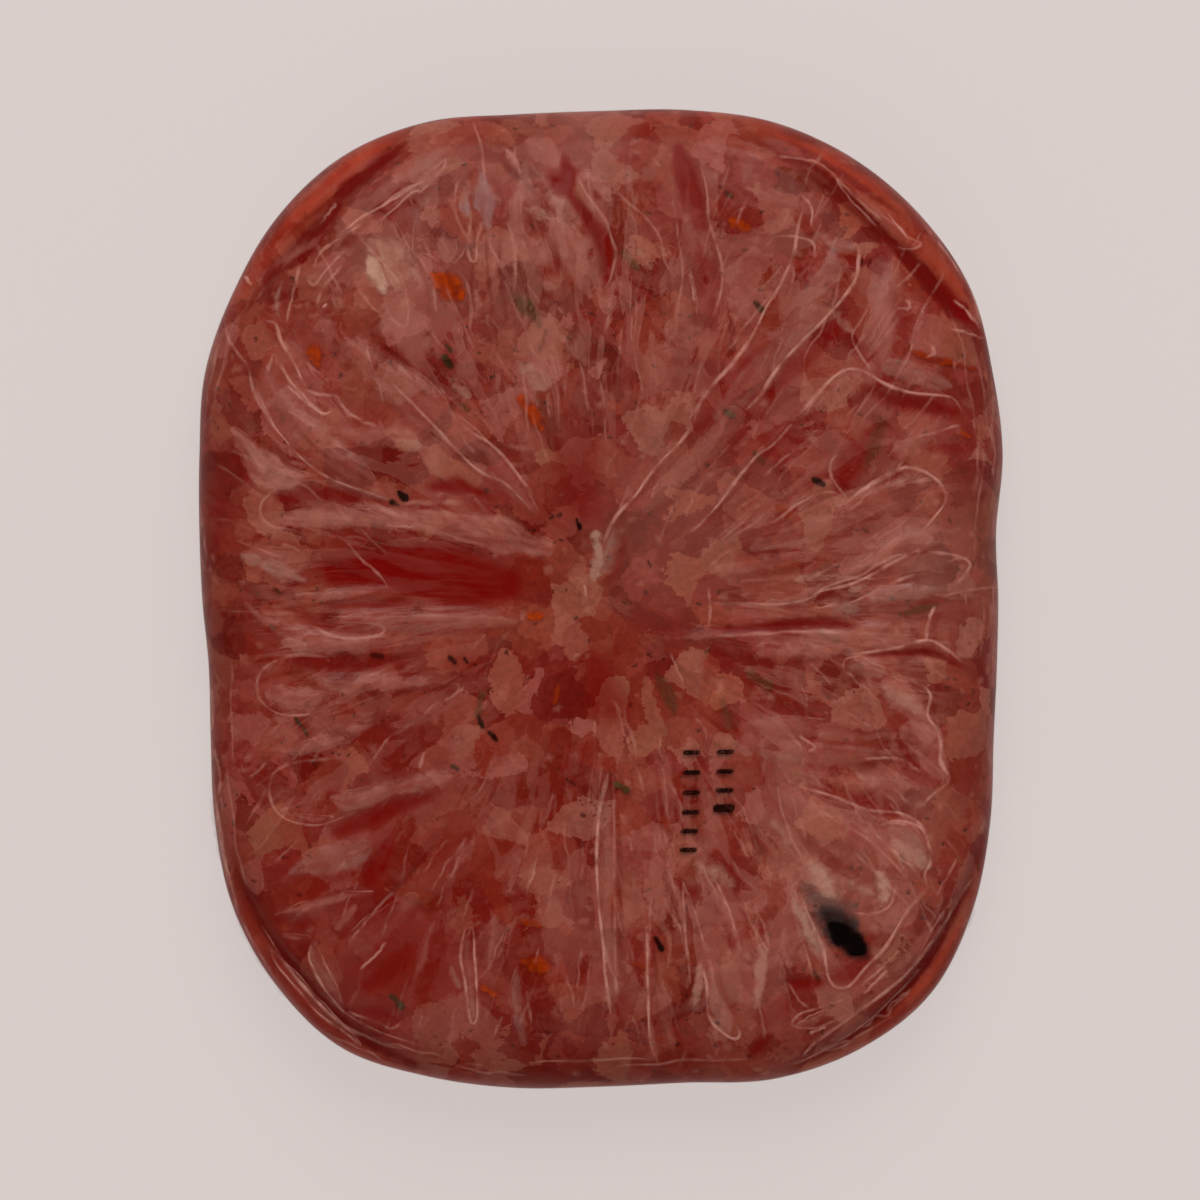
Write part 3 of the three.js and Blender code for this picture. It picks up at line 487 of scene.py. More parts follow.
WET_PATCHES: tuple[WetPatch, ...] = tuple(WetPatch(*row) for row in (
    (((-56, 17.6, 2), (-50, 18.6, 3), (-43, 18, 2.6), (-36.8, 16.6, 0.8)), 0.6),
    (((-29.5, 19.6, 1.4), (-25.2, 19.9, 3), (-21, 18.6, 1.6)), 1),
    (((-46.5, 5, 5), (-36, 5.4, 8), (-25.5, 4, 10.5), (-17, 2.6, 7)), 0.95, 3.4),
    (((-46, -0.9, 1.4), (-39, -1, 2), (-33.5, -0.2, 2.4)), 0.8),
    (((-54, 2.6, 2), (-49.5, 4.6, 4), (-45, 3.5, 3)), 0.5),
    (((-52, -10.6, 3), (-44, -11.3, 3.4), (-34, -10.9, 1.6)), 0.6),
    (((-52, -2.6, 3), (-47, -4.6, 3), (-41, -5.6, 1.6)), 0.4),
    (((-46, -40.8, 2), (-41, -38.4, 4), (-35, -36, 3), (-30, -34.6, 1)), 0.8),
    (((-41, -49.5, 2), (-39, -47, 3.6), (-37, -43, 2.5)), 0.8),
    (((-40, -67, 3), (-36.5, -64.5, 4), (-33.5, -60.5, 2)), 0.8),
    (((-43, -71.6, 1.2), (-38.5, -72.2, 1.6), (-35, -73.2, 1.4)), 0.9),
    (((-57.5, -55.8, 1.2), (-53, -56.4, 1.6), (-49, -55.6, 1)), 0.6),
    (((40, -33, 1.6), (46.5, -35.4, 2.8), (53, -37.2, 2.2), (56.8, -40, 1)), 0.5),
    (((40.2, -66, 2), (43, -65.4, 4), (46.5, -62.8, 3)), 0.8),
    (((33.5, -67, 2), (38, -66.8, 2.6)), 0.9),
    (((46.5, -59.5, 3), (50, -59.3, 3)), 0.6),
    (((26.5, -79.5, 1.2), (27.8, -77.8, 2), (30, -76, 1)), 0.9),
    (((29, -73, 4), (32, -70.5, 4)), 0.5),
    (((31.6, 16.6, 0.8), (36, 19.6, 1.8), (39.4, 22.2, 1.2)), 0.6),
    (((41.6, 19.2, 2.6), (43.6, 24, 4.4), (47.5, 28.5, 3.6)), 0.7),
    (((56.6, 26.6, 1.8), (61, 26.4, 2.4), (65, 26.6, 1.4)), 0.6),
    (((19.6, -5.2, 0.8), (26, -5.2, 1.8), (34, -4.2, 2), (40, -4, 2.6), (44, -5, 1.6)), 0.9),
    (((33, -1.4, 2), (37, -2.2, 1.2)), 0.5),
    (((46.6, -3.2, 2.4), (51, -3.4, 3)), 0.5),
    (((47, -9.8, 0.8), (53.5, -9.2, 1.2), (58.5, -9.2, 1.6), (63.2, -11.6, 0.7)), 0.9),
    (((36, -21.8, 1), (42, -22.6, 2), (49, -24, 1.4)), 0.6),
    (((-6, 32, 4), (-4, 25, 9), (-3, 17, 6)), 0.55, 5.6),
    (((-1, -11, 5), (1.5, -18, 8)), 0.7, 5.6),
    (((20, -10, 3), (22, -11, 3)), 0.6),
    (((20, 36, 2), (24, 41.4, 1.6)), 0.4),
    (((17, 30, 2), (22, 36, 3), (28, 43, 3)), 0.5),
    (((30, 36, 2), (36, 42.5, 3.6), (41.5, 48, 3), (45, 54.5, 1.8)), 0.7),
    (((49.4, 62.4, 2.6), (48, 56.6, 3.6), (44.8, 50.6, 3), (43.6, 46.8, 2.2), (45.4, 42.6, 2)), 0.5),
    (((51.6, 52, 2.6), (53.4, 48, 3.6), (53.6, 46, 2)), 0.6),
    (((47, 36.5, 1.2), (52, 34.6, 2.6), (58, 33.8, 3.4), (62, 33, 2)), 0.9),
    (((53, 60.2, 1), (57, 56.4, 2.8), (60.5, 52.6, 3.6), (63, 50, 3), (64.6, 49, 1)), 1),
    (((13.6, 79, 2), (14.4, 75, 3.6), (16, 70, 4), (17.6, 65, 2.4)), 0.8, 1),
    (((17.6, 60.6, 1.6), (18.6, 57, 3.8), (18, 53, 1.6)), 0.7),
    (((19.6, 54, 1.4), (20, 50, 2.4), (19.6, 46.6, 1)), 0.6),
    (((5, 50, 2), (4.8, 44, 2.4), (5, 38, 3)), 0.6),
    (((-5.6, 71, 1.4), (-3, 67.6, 2.4), (0.4, 63, 2.8), (1.4, 58, 1.6), (0.6, 54, 0.8)), 0.85, 1.2),
    (((-6.2, 77.6, 1), (-5.6, 74, 3), (-6.6, 71.6, 3.4), (-8.4, 73.6, 1.4)), 0.95, 1),
    (((-10, 69.6, 1.6), (-8.2, 67, 2)), 0.7),
    (((-10, 57.4, 2.4), (-7.6, 58.6, 3.2)), 0.7),
    (((-58.6, 50, 1.6), (-56.6, 46, 2)), 0.5),
    (((-41.2, 46.2, 1), (-36, 42.8, 1.6), (-30.5, 39, 1.4)), 0.4),
    (((-43, 34, 2), (-38, 32.6, 5), (-34.6, 31, 2)), 0.4),
))

REGIONS: tuple[Region, ...] = (
    Region(-20, 58, 20, 0.1),
    Region(12, 13, 14, 0.14),
    Region(58, 6, 16, 0.14),
    Region(44, -52, 18, 0.1),
    Region(-34, -3, 18, -0.1),
    Region(-40, 30, 14, -0.1),
    Region(-30, -32, 15, -0.26),
    Region(-38, -60, 22, -0.7),
    Region(0, -44, 12, -0.12),
    Region(-2, -74, 15, -0.3),
    Region(30, 56, 14, -0.08),
    Region(12, 72, 12, -0.1),
    Region(-2, 84, 9, 0.2),
)

CARROT: tuple[Bit, ...] = tuple(Bit(*row) for row in (
    (((-28.6, 56.2, 2.6), (-26.8, 55, 4.6), (-25, 53.4, 3)), 0.85, 1.3, 0.5),
    (((-50, 43.6, 2.4), (-49.7, 42.6, 3.2), (-49.4, 41.6, 2.2)), 0.85, 1.2, 0.35),
    (((-13.6, 34.8, 2.4), (-12.1, 32.9, 3.6), (-10.6, 30.6, 2.4)), 0.85, 1.1, 0.4),
    (((-11.8, -2.7, 2), (-10.9, -2.7, 2.2)), 0.8, 0.8, 0.7),
    (((-16.4, -2.6, 1.6), (-14.8, -2.8, 1.6)), 0.35, 0.8, 0.4),
    (((-7.4, -15, 1.2), (-7.9, -17.6, 1.4)), 0.45, 0.7, 0.5),
    (((54.4, 43.4, 1.4), (58.6, 42, 2.4), (62.4, 41.2, 1.8), (65.6, 40.4, 1.6)), 0.75, 0.9, 0.1),
    (((63.4, 29.2, 1.4), (64.2, 28.6, 1.4)), 0.8, 0.7, 0.6),
    (((23.2, 66, 1.8), (25.2, 65.2, 2.4)), 0.8, 0.8, 0.6),
    (((-12.8, -56.2, 2), (-11.2, -56.6, 2.2)), 0.6, 0.9, 0.4),
    (((-12.6, -63.2, 2.4), (-11, -63.6, 3.4), (-9.4, -63.8, 2.2)), 0.7, 1.1, 0.4),
    (((-20.2, -67.8, 1.6), (-18.8, -68.6, 1.8)), 0.7, 0.7, 0.5),
    (((6.2, -63.6, 1.6), (7.8, -64.2, 1.6)), 0.4, 0.8, 0.4),
    (((-33.4, -51, 3), (-31.3, -51.8, 4.8), (-29.2, -52.8, 3)), 0.5, 1.6, 0),
    (((10.8, -38.8, 2), (12, -40.2, 2.4)), 0.45, 1, 0.1),
    (((44.6, -27, 2), (46.6, -28, 2.2)), 0.4, 1, 0.2),
    (((26, 6.8, 2.4), (30, 5.6, 3.4), (34, 6.2, 2.2)), 0.35, 1.3, 0.3),
    (((31, 16.4, 1.4), (33, 14.4, 2)), 0.35, 0.9, 0.3),
    (((-4.6, 66, 1.6), (-3, 64.6, 1.8)), 0.3, 0.9, 0.1),
))

FAT: tuple[Bit, ...] = tuple(Bit(*row) for row in (
    (((-38.6, 61, 5), (-36.6, 59, 7.5), (-35.6, 56.4, 5)), 0.62, 2.4, 0.25),
    (((-39.8, 59, 2.6), (-38.8, 57, 4.2), (-38, 54.8, 2.8)), 0.8, 1.5, 1.1),
    (((-32.6, 57.8, 1.6), (-31.6, 55.8, 2.2)), 0.4, 0.9, 0.6),
    (((-12, 67.8, 2.4), (-10.2, 67, 2.8)), 0.5, 0.9, 0.3),
    (((-13, 40.4, 3), (-11.4, 39, 4.6), (-10, 37.6, 3)), 0.45, 1.4, 0.4),
    (((-35.2, 27.8, 2), (-33.6, 26.8, 3), (-32, 27, 2)), 0.35, 1, 0.5),
    (((-54.6, -7.4, 2.2), (-53.3, -7.7, 2.8), (-52, -8.2, 2.2)), 0.7, 0.7, -0.1),
    (((17.6, -46.6, 2.4), (20.2, -47.6, 3.6), (22.6, -49.4, 2.4)), 0.5, 2, 0.4),
    (((37.4, -46.4, 2.6), (38.6, -48.8, 4), (40.2, -51, 2.4)), 0.55, 1.9, 0.9),
    (((48.8, -48.4, 2.2), (49.6, -50.4, 3), (49.2, -52.4, 2)), 0.7, 1.3, 0.7),
    (((43.8, -49.2, 2.4), (46.4, -50.6, 3)), 0.4, 1.9, 0.5),
    (((30.4, -39, 2), (32.6, -41.6, 2.8)), 0.3, 1.1, 0.6),
    (((50, -15.6, 2), (53.6, -17.6, 3.4), (56.4, -19.8, 2)), 0.35, 1.2, 0.7),
    (((7, 60.6, 1.6), (8.4, 58.6, 2)), 0.3, 0.9, 0.5),
    (((40.8, 49.8, 2), (43, 47.6, 2.6)), 0.25, 1.1, 0.6),
    (((-25, 37.2, 1.6), (-23.4, 36.2, 2.4)), 0.35, 0.8, 0.6),
    (((-25.6, -64.8, 1.6), (-24.8, -66.8, 2)), 0.25, 0.9, 0.6),
    (((28.6, -60.6, 1.8), (28, -64.4, 2.6), (27.6, -68.6, 2)), 0.45, 0.9, 0.5),
    (((17.6, -64, 1.4), (17.2, -67.4, 2.2), (16.6, -70, 1.4)), 0.4, 0.8, 0.6),
    (((-60.8, 26, 2), (-57.6, 23, 3.2), (-54.6, 22, 2)), 0.25, 1.2, 0.5),
    (((34.8, 3.6, 1.6), (37.4, 4.4, 2)), 0.35, 0.8, 0.6),
    (((43.6, 1.8, 1.2), (45, 2.2, 1.4)), 0.35, 0.6, 0.8),
    (((-46.6, 14.8, 1.6), (-44, 14, 2.2)), 0.3, 0.9, 0.1),
    (((-0.8, 11.4, 1.8), (-0.2, 7.4, 3), (-1, 4.4, 2.4)), 0.45, 1, 1),
    (((34, -52.6, 1.6), (35.2, -55.4, 2.4), (37.2, -59.6, 1.8)), 0.5, 1.1, 0.8),
    (((51.6, -42.6, 2.4), (54, -44.4, 4.4), (56.6, -46, 2.6)), 0.35, 1.4, 0.9),
))

HERB: tuple[Bit, ...] = tuple(Bit(*row) for row in (
    (((-34.9, 18.6, 1.2), (-34.1, 17.9, 1.5)), 0.95, 0.35, -0.2),
    (((-36.4, 17.1, 1), (-35.6, 16.8, 1.1)), 0.8, 0.4, -0.2),
    (((-39.6, -9.6, 1.2), (-38.4, -9.8, 1.5)), 0.9, 0.4, -0.2),
    (((-4, 13.9, 0.9), (-3.6, 12.8, 1.1)), 0.9, 0.35, -0.2),
    (((-53, -20.8, 1), (-52.4, -21.6, 1.2)), 0.8, 0.4, 0.2),
    (((-51.6, -22.4, 0.9), (-51.2, -23.4, 1)), 0.7, 0.4, 0.2),
    (((-21.2, -20.2, 0.9), (-20.6, -21.8, 1.2)), 0.85, 0.4, -0.1),
    (((-19.2, -23.2, 1), (-18.2, -24.2, 1.2)), 0.85, 0.4, -0.1),
    (((-26.2, -10, 0.9), (-25.4, -10.8, 1)), 0.75, 0.35, -0.1),
    (((-23.6, -10.2, 0.7), (-23.2, -10.8, 0.8)), 0.7, 0.35, -0.1),
    (((-25.6, -29, 0.9), (-24.8, -29.5, 1)), 0.7, 0.4, 0.2),
    (((-5.6, -31.4, 0.9), (-4.8, -32, 1)), 0.7, 0.4, -0.1),
    (((3, -32.2, 1.4), (4.4, -33, 1.9)), 0.75, 0.6, 0.7),
    (((-36.2, -69.4, 1.6), (-35, -70.6, 2.2)), 0.8, 0.7, 0.4),
    (((9.8, -59.2, 1.2), (10.6, -60.6, 1.5)), 0.95, 0.4, 0),
    (((-27, 42.2, 1.4), (-26.2, 41.2, 1.7)), 0.85, 0.5, 0.3),
    (((-26.8, 44.4, 0.8), (-26, 43.6, 0.9)), 0.7, 0.4, 0.3),
    (((22, 71.2, 1), (22.8, 70.6, 1.2)), 0.7, 0.5, 0.3),
    (((27.2, 51.8, 1.2), (28.2, 50.8, 1.5)), 0.8, 0.5, 0.3),
    (((21.9, 33, 1.2), (23, 32.2, 1.4)), 0.8, 0.5, 0.3),
    (((37.4, 21, 1.1), (38.6, 20.4, 1.5)), 0.9, 0.4, -0.1),
    (((-14.4, 52.4, 2.6), (-12.3, 50.6, 3.8), (-11, 48.6, 2.4)), 0.6, 1.6, 0.6),
    (((-9.6, 46.6, 1.4), (-10.2, 44.4, 1.6)), 0.55, 0.9, 0.6),
    (((4.4, 60.4, 1.8), (6, 58.6, 2.4)), 0.4, 1, 0.8),
    (((26.4, -13, 2), (29, -14.8, 3)), 0.32, 1.2, 0.8),
    (((10.4, -13.6, 2.4), (11.8, -16.4, 3.4), (12.8, -19, 2)), 0.35, 1.3, 0.7),
    (((21.6, -18, 2), (22.4, -21.6, 2.6)), 0.28, 1.1, 0.8),
    (((-20.6, -16.6, 1.6), (-21.2, -19.4, 2.2)), 0.35, 0.9, 0.8),
    (((-24.6, 34.2, 1.2), (-23.4, 33.4, 1.6)), 0.4, 0.7, 0.8),
    (((49.4, 31.2, 2.6), (48.2, 27.4, 3.4), (46.6, 24, 2.2)), 0.24, 1.3, 0.9),
    (((52.8, -2.4, 1.2), (57.6, -1, 1.8), (60.2, -0.4, 1)), 0.32, 0.8, 0.8),
    (((38.4, -5.4, 1.6), (41, -6.8, 2.2)), 0.32, 0.9, 0.8),
    (((27, 25.6, 1.2), (28.4, 24.2, 1.4)), 0.6, 0.7, 0.5),
    (((-56.2, 33.4, 1.2), (-55.2, 31.6, 1.4)), 0.35, 0.8, 0.8),
    (((-29, 57.2, 0.8), (-28.2, 56.4, 0.8)), 0.5, 0.4, 0.3),
    (((8.4, 6.8, 0.7), (8.8, 6, 0.7)), 0.6, 0.3, 0.2),
    (((-56.8, 2, 0.9), (-56, 1.4, 1)), 0.5, 0.4, 0.2),
    (((-57.4, -4.4, 0.8), (-56.8, -5, 0.8)), 0.5, 0.4, 0.2),
    (((37.4, -65, 1), (38.2, -66.2, 1)), 0.5, 0.5, 0.3),
    (((46, 12.4, 0.7), (46.6, 12, 0.7)), 0.5, 0.3, 0.2),
    (((61, 14, 0.7), (61.4, 13.4, 0.7)), 0.4, 0.3, 0.2),
    (((52.4, -44.6, 0.9), (53, -45.4, 0.9)), 0.5, 0.4, 0.3),
))

SCRAP: tuple[Bit, ...] = tuple(Bit(*row) for row in (
    (((36.6, -50.6, 4), (38.6, -52.8, 6.4), (41, -54.8, 7), (43.2, -56.4, 5)), 0.5, 3.2, 0.9),
    (((39.6, -54.6, 3), (41.6, -57, 6), (43.6, -59.2, 6.6), (45, -60.6, 4.6)), 0.75, 2.6, 0.2),
    (((41.2, -57.4, 3.2), (42.4, -58.4, 4.6), (43.8, -59.6, 4.8), (44.8, -60.4, 3.8)), 1, 1, -0.3),
))

TUCKS: tuple[Tuck, ...] = (
    Tuck(33, 74, 0.985, 0.912, 0.955, 3.2, 1.1),
    Tuck(111, 142, 0.98, 0.925, 0.96, 3, 1.1),
    Tuck(214, 251, 0.965, 0.945, 0.99, 2.4, 0.6),
    Tuck(291, 329, 0.985, 0.955, 0.985, 3.2, 0.9),
)


def linear(colour: str) -> tuple[float, float, float, float]:
    """Turn an sRGB hex colour, such as "8c3b30", into linear RGBA."""
    parts = [int(colour[k:k + 2], 16) / 255 for k in (0, 2, 4)]
    red, green, blue = [c / 12.92 if c <= 0.04045 else ((c + 0.055) / 1.055) ** 2.4 for c in parts]
    return (red, green, blue, 1.0)


def feed(node: bpy.types.Node, takes: dict[Any, Any]) -> None:
    """Link or set a node's inputs.

    Args:
        node: the node to feed.
        takes: for an input, by name or number, its plain value, the socket that feeds it, or the node
            whose first output does.
    """
    for place, value in takes.items():
        source = value.outputs[0] if isinstance(value, bpy.types.Node) else value
        if isinstance(source, bpy.types.NodeSocket):
            node.id_data.links.new(source, node.inputs[place])
        else:
            node.inputs[place].default_value = source


def add_node(
    tree: bpy.types.NodeTree,
    kind: str,
    takes: Optional[dict[Any, Any]] = None,
    stops: Sequence[tuple[float, str]] = (),
    **settings: Any,
) -> bpy.types.Node:
    """Add one shader node with its settings and links.

    Args:
        tree: the material's node tree.
        kind: Blender's name for the kind of node, without "ShaderNode".
        takes: what feeds its inputs.
        stops: place and sRGB hex colour of each stop of a colour ramp, in rising order.
        settings: the node's own properties.

    Returns:
        The new node.
    """
    node = tree.nodes.new("ShaderNode" + kind)
    for name, value in settings.items():
        setattr(node, name, value)
    feed(node, takes or {})
    if stops:
        ramp = node.color_ramp.elements
        ramp[0].position, ramp[0].color = stops[0][0], linear(stops[0][1])
        ramp[1].position, ramp[1].color = stops[-1][0], linear(stops[-1][1])
        for place, colour in stops[1:-1]:
            ramp.new(place).color = linear(colour)
    return node


def start_finish(name: str) -> tuple[bpy.types.Material, Add, bpy.types.Node]:
    """Start a material from one plain shader.

    Args:
        name: what it is made of and how.

    Returns:
        The material, the way to add a node to it, and its shader.
    """
    material = bpy.data.materials.new(name)
    material.use_nodes = True
    tree = material.node_tree
    return material, partial(add_node, tree), tree.nodes["Principled BSDF"]


def see_through(
    material: bpy.types.Material, share: bpy.types.Node, lit: bpy.types.Node,
) -> bpy.types.Material:
    """Let what lies under a finish show where its share is low.

    Args:
        material: the finish.
        share: the node that gives how much of it shows, from 0 to 1.
        lit: the shader of the finish itself.

    Returns:
        The same material.
    """
    tree = material.node_tree
    whole = add_node(tree, "MixShader", {0: share, 1: add_node(tree, "BsdfTransparent"), 2: lit})
    feed(tree.nodes["Material Output"], {"Surface": whole})
    return material


def steps_of(path: np.ndarray) -> np.ndarray:
    """Length of each step of a path, in millimetres."""
    return np.linalg.norm(np.diff(path[:, :2], axis=0), axis=1)


def heading(path: np.ndarray) -> np.ndarray:
    """Direction of a path at each row, as rows of x and y of length 1."""
    tangent = np.gradient(path[:, :2], axis=0)
    return tangent / np.maximum(np.linalg.norm(tangent, axis=1), 1e-9)[:, None]


def even_path(points: Sequence[Sequence[float]], count: int) -> np.ndarray:
    """Run a smooth curve through points and divide it evenly.

    Args:
        points: rows of x, y and further values, such as a width.
        count: how many rows to return.

    Returns:
        Rows of the same columns, evenly spaced along the curve.
    """
    rows = np.asarray(points, float)
    ends = np.vstack([2 * rows[0] - rows[1], rows, 2 * rows[-1] - rows[-2]])
    spans = len(rows) - 1
    place = np.linspace(0, spans, 12 * spans + 1)
    first = np.minimum(place.astype(int), spans - 1)
    u = (place - first)[:, None]
    a, b, c, d = (ends[first + k] for k in range(4))
    curve = 0.5 * (2 * b + (c - a) * u + (2 * a - 5 * b + 4 * c - d) * u**2 + (3 * b - a - 3 * c + d) * u**3)
    run = np.concatenate([[0.0], np.cumsum(steps_of(curve))])
    wanted = np.linspace(0, run[-1], count)
    return np.column_stack([np.interp(wanted, run, column) for column in curve.T])


def inside_by(x: np.ndarray, y: np.ndarray, path: Path, margin: float = 3.0) -> np.ndarray:
    """Tell how far inside a fold's edge each place lies.

    Args:
        x: places across, in millimetres.
        y: places along, in millimetres.
        path: the fold's centreline with its widths.
        margin: how far outside the fold the distance is still worked out.

    Returns:
        Millimetres inside the edge, negative outside, and -margin far away.
    """
    line = even_path(path, 4 * len(path) + 1)
    result = np.full(x.shape, -margin)
    reach = margin + line[:, 2].max() / 2
    low, high = line[:, :2].min(0) - reach, line[:, :2].max(0) + reach
    near = np.flatnonzero((x > low[0]) & (x < high[0]) & (y > low[1]) & (y < high[1]))
    px, py = x[near], y[near]
    best = np.full(px.shape, -margin)
    for start, end in zip(line[:-1], line[1:]):
        run = end[:2] - start[:2]
        along = np.clip(((px - start[0]) * run[0] + (py - start[1]) * run[1]) / (run @ run), 0, 1)
        away = np.hypot(px - start[0] - along * run[0], py - start[1] - along * run[1])
        half = (start[2] + along * (end[2] - start[2])) / 2
        best = np.maximum(best, half - away)
    result[near] = best
    return result


def fatness(x: np.ndarray, y: np.ndarray) -> np.ndarray:
    """How much fatter than the rest the mince is at places in millimetres, below 0 where leaner."""
    return sum(region.fat * bell(np.hypot(x - region.x, y - region.y) / region.radius) for region in REGIONS)


def bell(u: np.ndarray) -> np.ndarray:
    """A rounded hump of height 1 at 0."""
    return np.exp(-u * u)


def ease(u: np.ndarray) -> np.ndarray:
    """A smooth step from 0 at 0 to 1 at 1."""
    t = np.clip(u, 0, 1)
    return t * t * (3 - 2 * t)


@dataclass(frozen=True)
class Relief:
    """Heights that the film and the mince have over the plain crown, and what shows in colour: the juice, the
    painted shade in the tuck grooves and the painted light on their rolls.
    """

    film: np.ndarray
    mince: np.ndarray
    juice: np.ndarray
    groove: np.ndarray
    roll: np.ndarray


@dataclass(frozen=True)
class PackForm:
    """The pack's outline, crown, shoulder, wall and underside, in millimetres."""

    crown: float = 23.6
    widest_level: float = 10.5
    shoulder_power: float = 11.0
    flat_share: float = 0.88
    hollow_depth: float = 1.1
    hollow_radius: float = 17.0
    lump_height: float = 0.35
    lump_across: float = 6.1
    lump_along: float = 7.2
    crossing_share: float = 0.25
    channels: int = 22
    channel_depth: float = 0.6
    channel_inner_share: float = 0.5
    tuck_inner: float = 0.9
    tuck_outer: float = 3.0
    mince_share: float = 0.6
    fold_foot: float = 0.9
    fold_share: float = 0.5
    juice_dip: float = 0.3
    groove_dip: float = 0.5
    groove_width: float = 0.9
    roll_away: float = 3.0
    roll_width: float = 1.8
    edge_reach: tuple[float, ...] = (
        69.9, 70.6, 75.2, 79.6, 84.9, 87.8, 89.3, 89.2, 87.3, 85.8, 86.5, 89.2,
        90.0, 87.9, 84.0, 80.0, 74.8, 71.4, 69.8, 69.7, 72.7, 78.0, 84.0, 88.3,
        90.7, 88.9, 86.9, 85.4, 86.0, 89.4, 91.0, 90.2, 85.2, 79.0, 73.5, 70.7,
    )

    def reach(self, bearing: np.ndarray) -> np.ndarray:
        """Distance from the middle to the widest edge.

        Args:
            bearing: angles round from +X, in radians.

        Returns:
            The distances, by a smooth closed curve through the edge's measured reaches.
        """
        values = np.asarray(self.edge_reach)
        count = len(values)
        place = np.mod(bearing / math.tau, 1.0) * count
        first = np.floor(place).astype(int)
        u = place - first
        before, here, after, last = (values[(first + k) % count] for k in (-1, 0, 1, 2))
        slope_here, slope_after = (after - before) / 2, (last - here) / 2
        return ((2 * u**3 - 3 * u**2 + 1) * here + (u**3 - 2 * u**2 + u) * slope_here
                + (3 * u**2 - 2 * u**3) * after + (u**3 - u**2) * slope_after)

    def tucks_at(self, bearing: np.ndarray, share: np.ndarray) -> tuple[np.ndarray, np.ndarray, np.ndarray]:
        """Relief of the corner tucks, and where their colour is painted with shade and light.

        Args:
            bearing: angles round from +X, in radians.
            share: distances from the middle as shares of the edge's reach.

        Returns:
            The height in millimetres, how much each place lies in a groove, which is painted as shade, and
            how much on a roll, which is painted as lit.
        """
        reach = self.reach(bearing)
        degrees = np.mod(np.degrees(bearing), 360)
        height, groove, roll = np.zeros_like(share), np.zeros_like(share), np.zeros_like(share)
        for tuck in TUCKS:
            along = (degrees - tuck.first) / (tuck.last - tuck.first)
            there = (along > 0) & (along < 1)
            bow = np.where(there, np.sin(np.pi * np.clip(along, 0, 1)), 0)
            straight = tuck.start + (tuck.end - tuck.start) * along
            line = straight + (tuck.bow - straight) * bow
            fade = np.sqrt(np.clip(bow, 0, 1))
            outward = (share - line) * reach
            side = np.where(outward < 0, self.tuck_inner, self.tuck_outer)
            shape = tuck.roll * bell(outward / self.tuck_outer - 2) - tuck.depth * bell(outward / side)
            height += fade * shape
            groove += fade * bell(outward / self.groove_width)
            roll += fade * bell((outward - self.roll_away) / self.roll_width)
        return height, groove, roll

    def relief(self, x: np.ndarray, y: np.ndarray) -> Relief:
        """Heights over the plain crown at places on the top.

        Args:
            x: places across, in millimetres.
            y: places along, in millimetres.

        Returns:
            The relief of film and mince and the shades that go with it.
        """
        bearing = np.arctan2(y, x)
        share = np.clip(np.hypot(x, y) / self.reach(bearing), 0, 1)
        highest, total = np.zeros_like(x), np.zeros_like(x)
        for fold in FOLDS:
            half = max(point[2] for point in fold.path) / 2
            rise = np.clip((inside_by(x, y, fold.path) + self.fold_foot) / (half + self.fold_foot), 0, 1)
            height = self.fold_share * fold.lift * np.sin(rise * np.pi / 2) ** 1.5
            highest = np.maximum(highest, height)
            total += height
        folds = highest + self.crossing_share * (total - highest)
        juice = np.zeros_like(x)
        for patch in WET_PATCHES:
            juice = np.maximum(juice, patch.depth * ease(inside_by(x, y, patch.path) / patch.soft + 0.5))
        tucks, groove, roll = self.tucks_at(bearing, share)
        slow = (self.lump_height * np.sin(x / self.lump_across) * np.cos(y / self.lump_along)
                - self.hollow_depth * bell(np.hypot(x, y) / self.hollow_radius) + tucks)
        film = folds + slow - self.juice_dip * juice
        mince = self.mince_share * folds + slow - self.juice_dip * juice - self.groove_dip * groove
        return Relief(film, mince, juice, groove, roll)

    def top_level(self, share: np.ndarray, relief: np.ndarray) -> np.ndarray:
        """Height of the top at a share of the reach, with a relief, in millimetres."""
        shoulder = np.sqrt(np.clip(1 - np.clip(share, 0, 1) ** self.shoulder_power, 0, 1))
        return self.widest_level + (self.crown - self.widest_level + relief) * shoulder

    def under_level(self, bearing: np.ndarray, share: np.ndarray) -> np.ndarray:
        """Height of the underside and lower wall at a bearing and a share, in millimetres."""
        past = np.clip((share - self.flat_share) / (1 - self.flat_share), 0, 1)
        wall = self.widest_level * (1 - np.sqrt(1 - past**2))
        ramp = ease((share - self.channel_inner_share) / (self.flat_share - self.channel_inner_share))
        wave = np.clip(np.sin(bearing * self.channels + 2 * np.sin(3 * bearing)), 0, None)
        return wall + self.channel_depth * ramp * wave**2

    def middle(self) -> tuple[float, float]:
        """Middle of the outline's box, which the solid puts over the origin."""
        bearing = np.radians(np.arange(0, 360, 2))
        across, along = self.reach(bearing) * np.cos(bearing), self.reach(bearing) * np.sin(bearing)
        return (across.min() + across.max()) / 2, (along.min() + along.max()) / 2


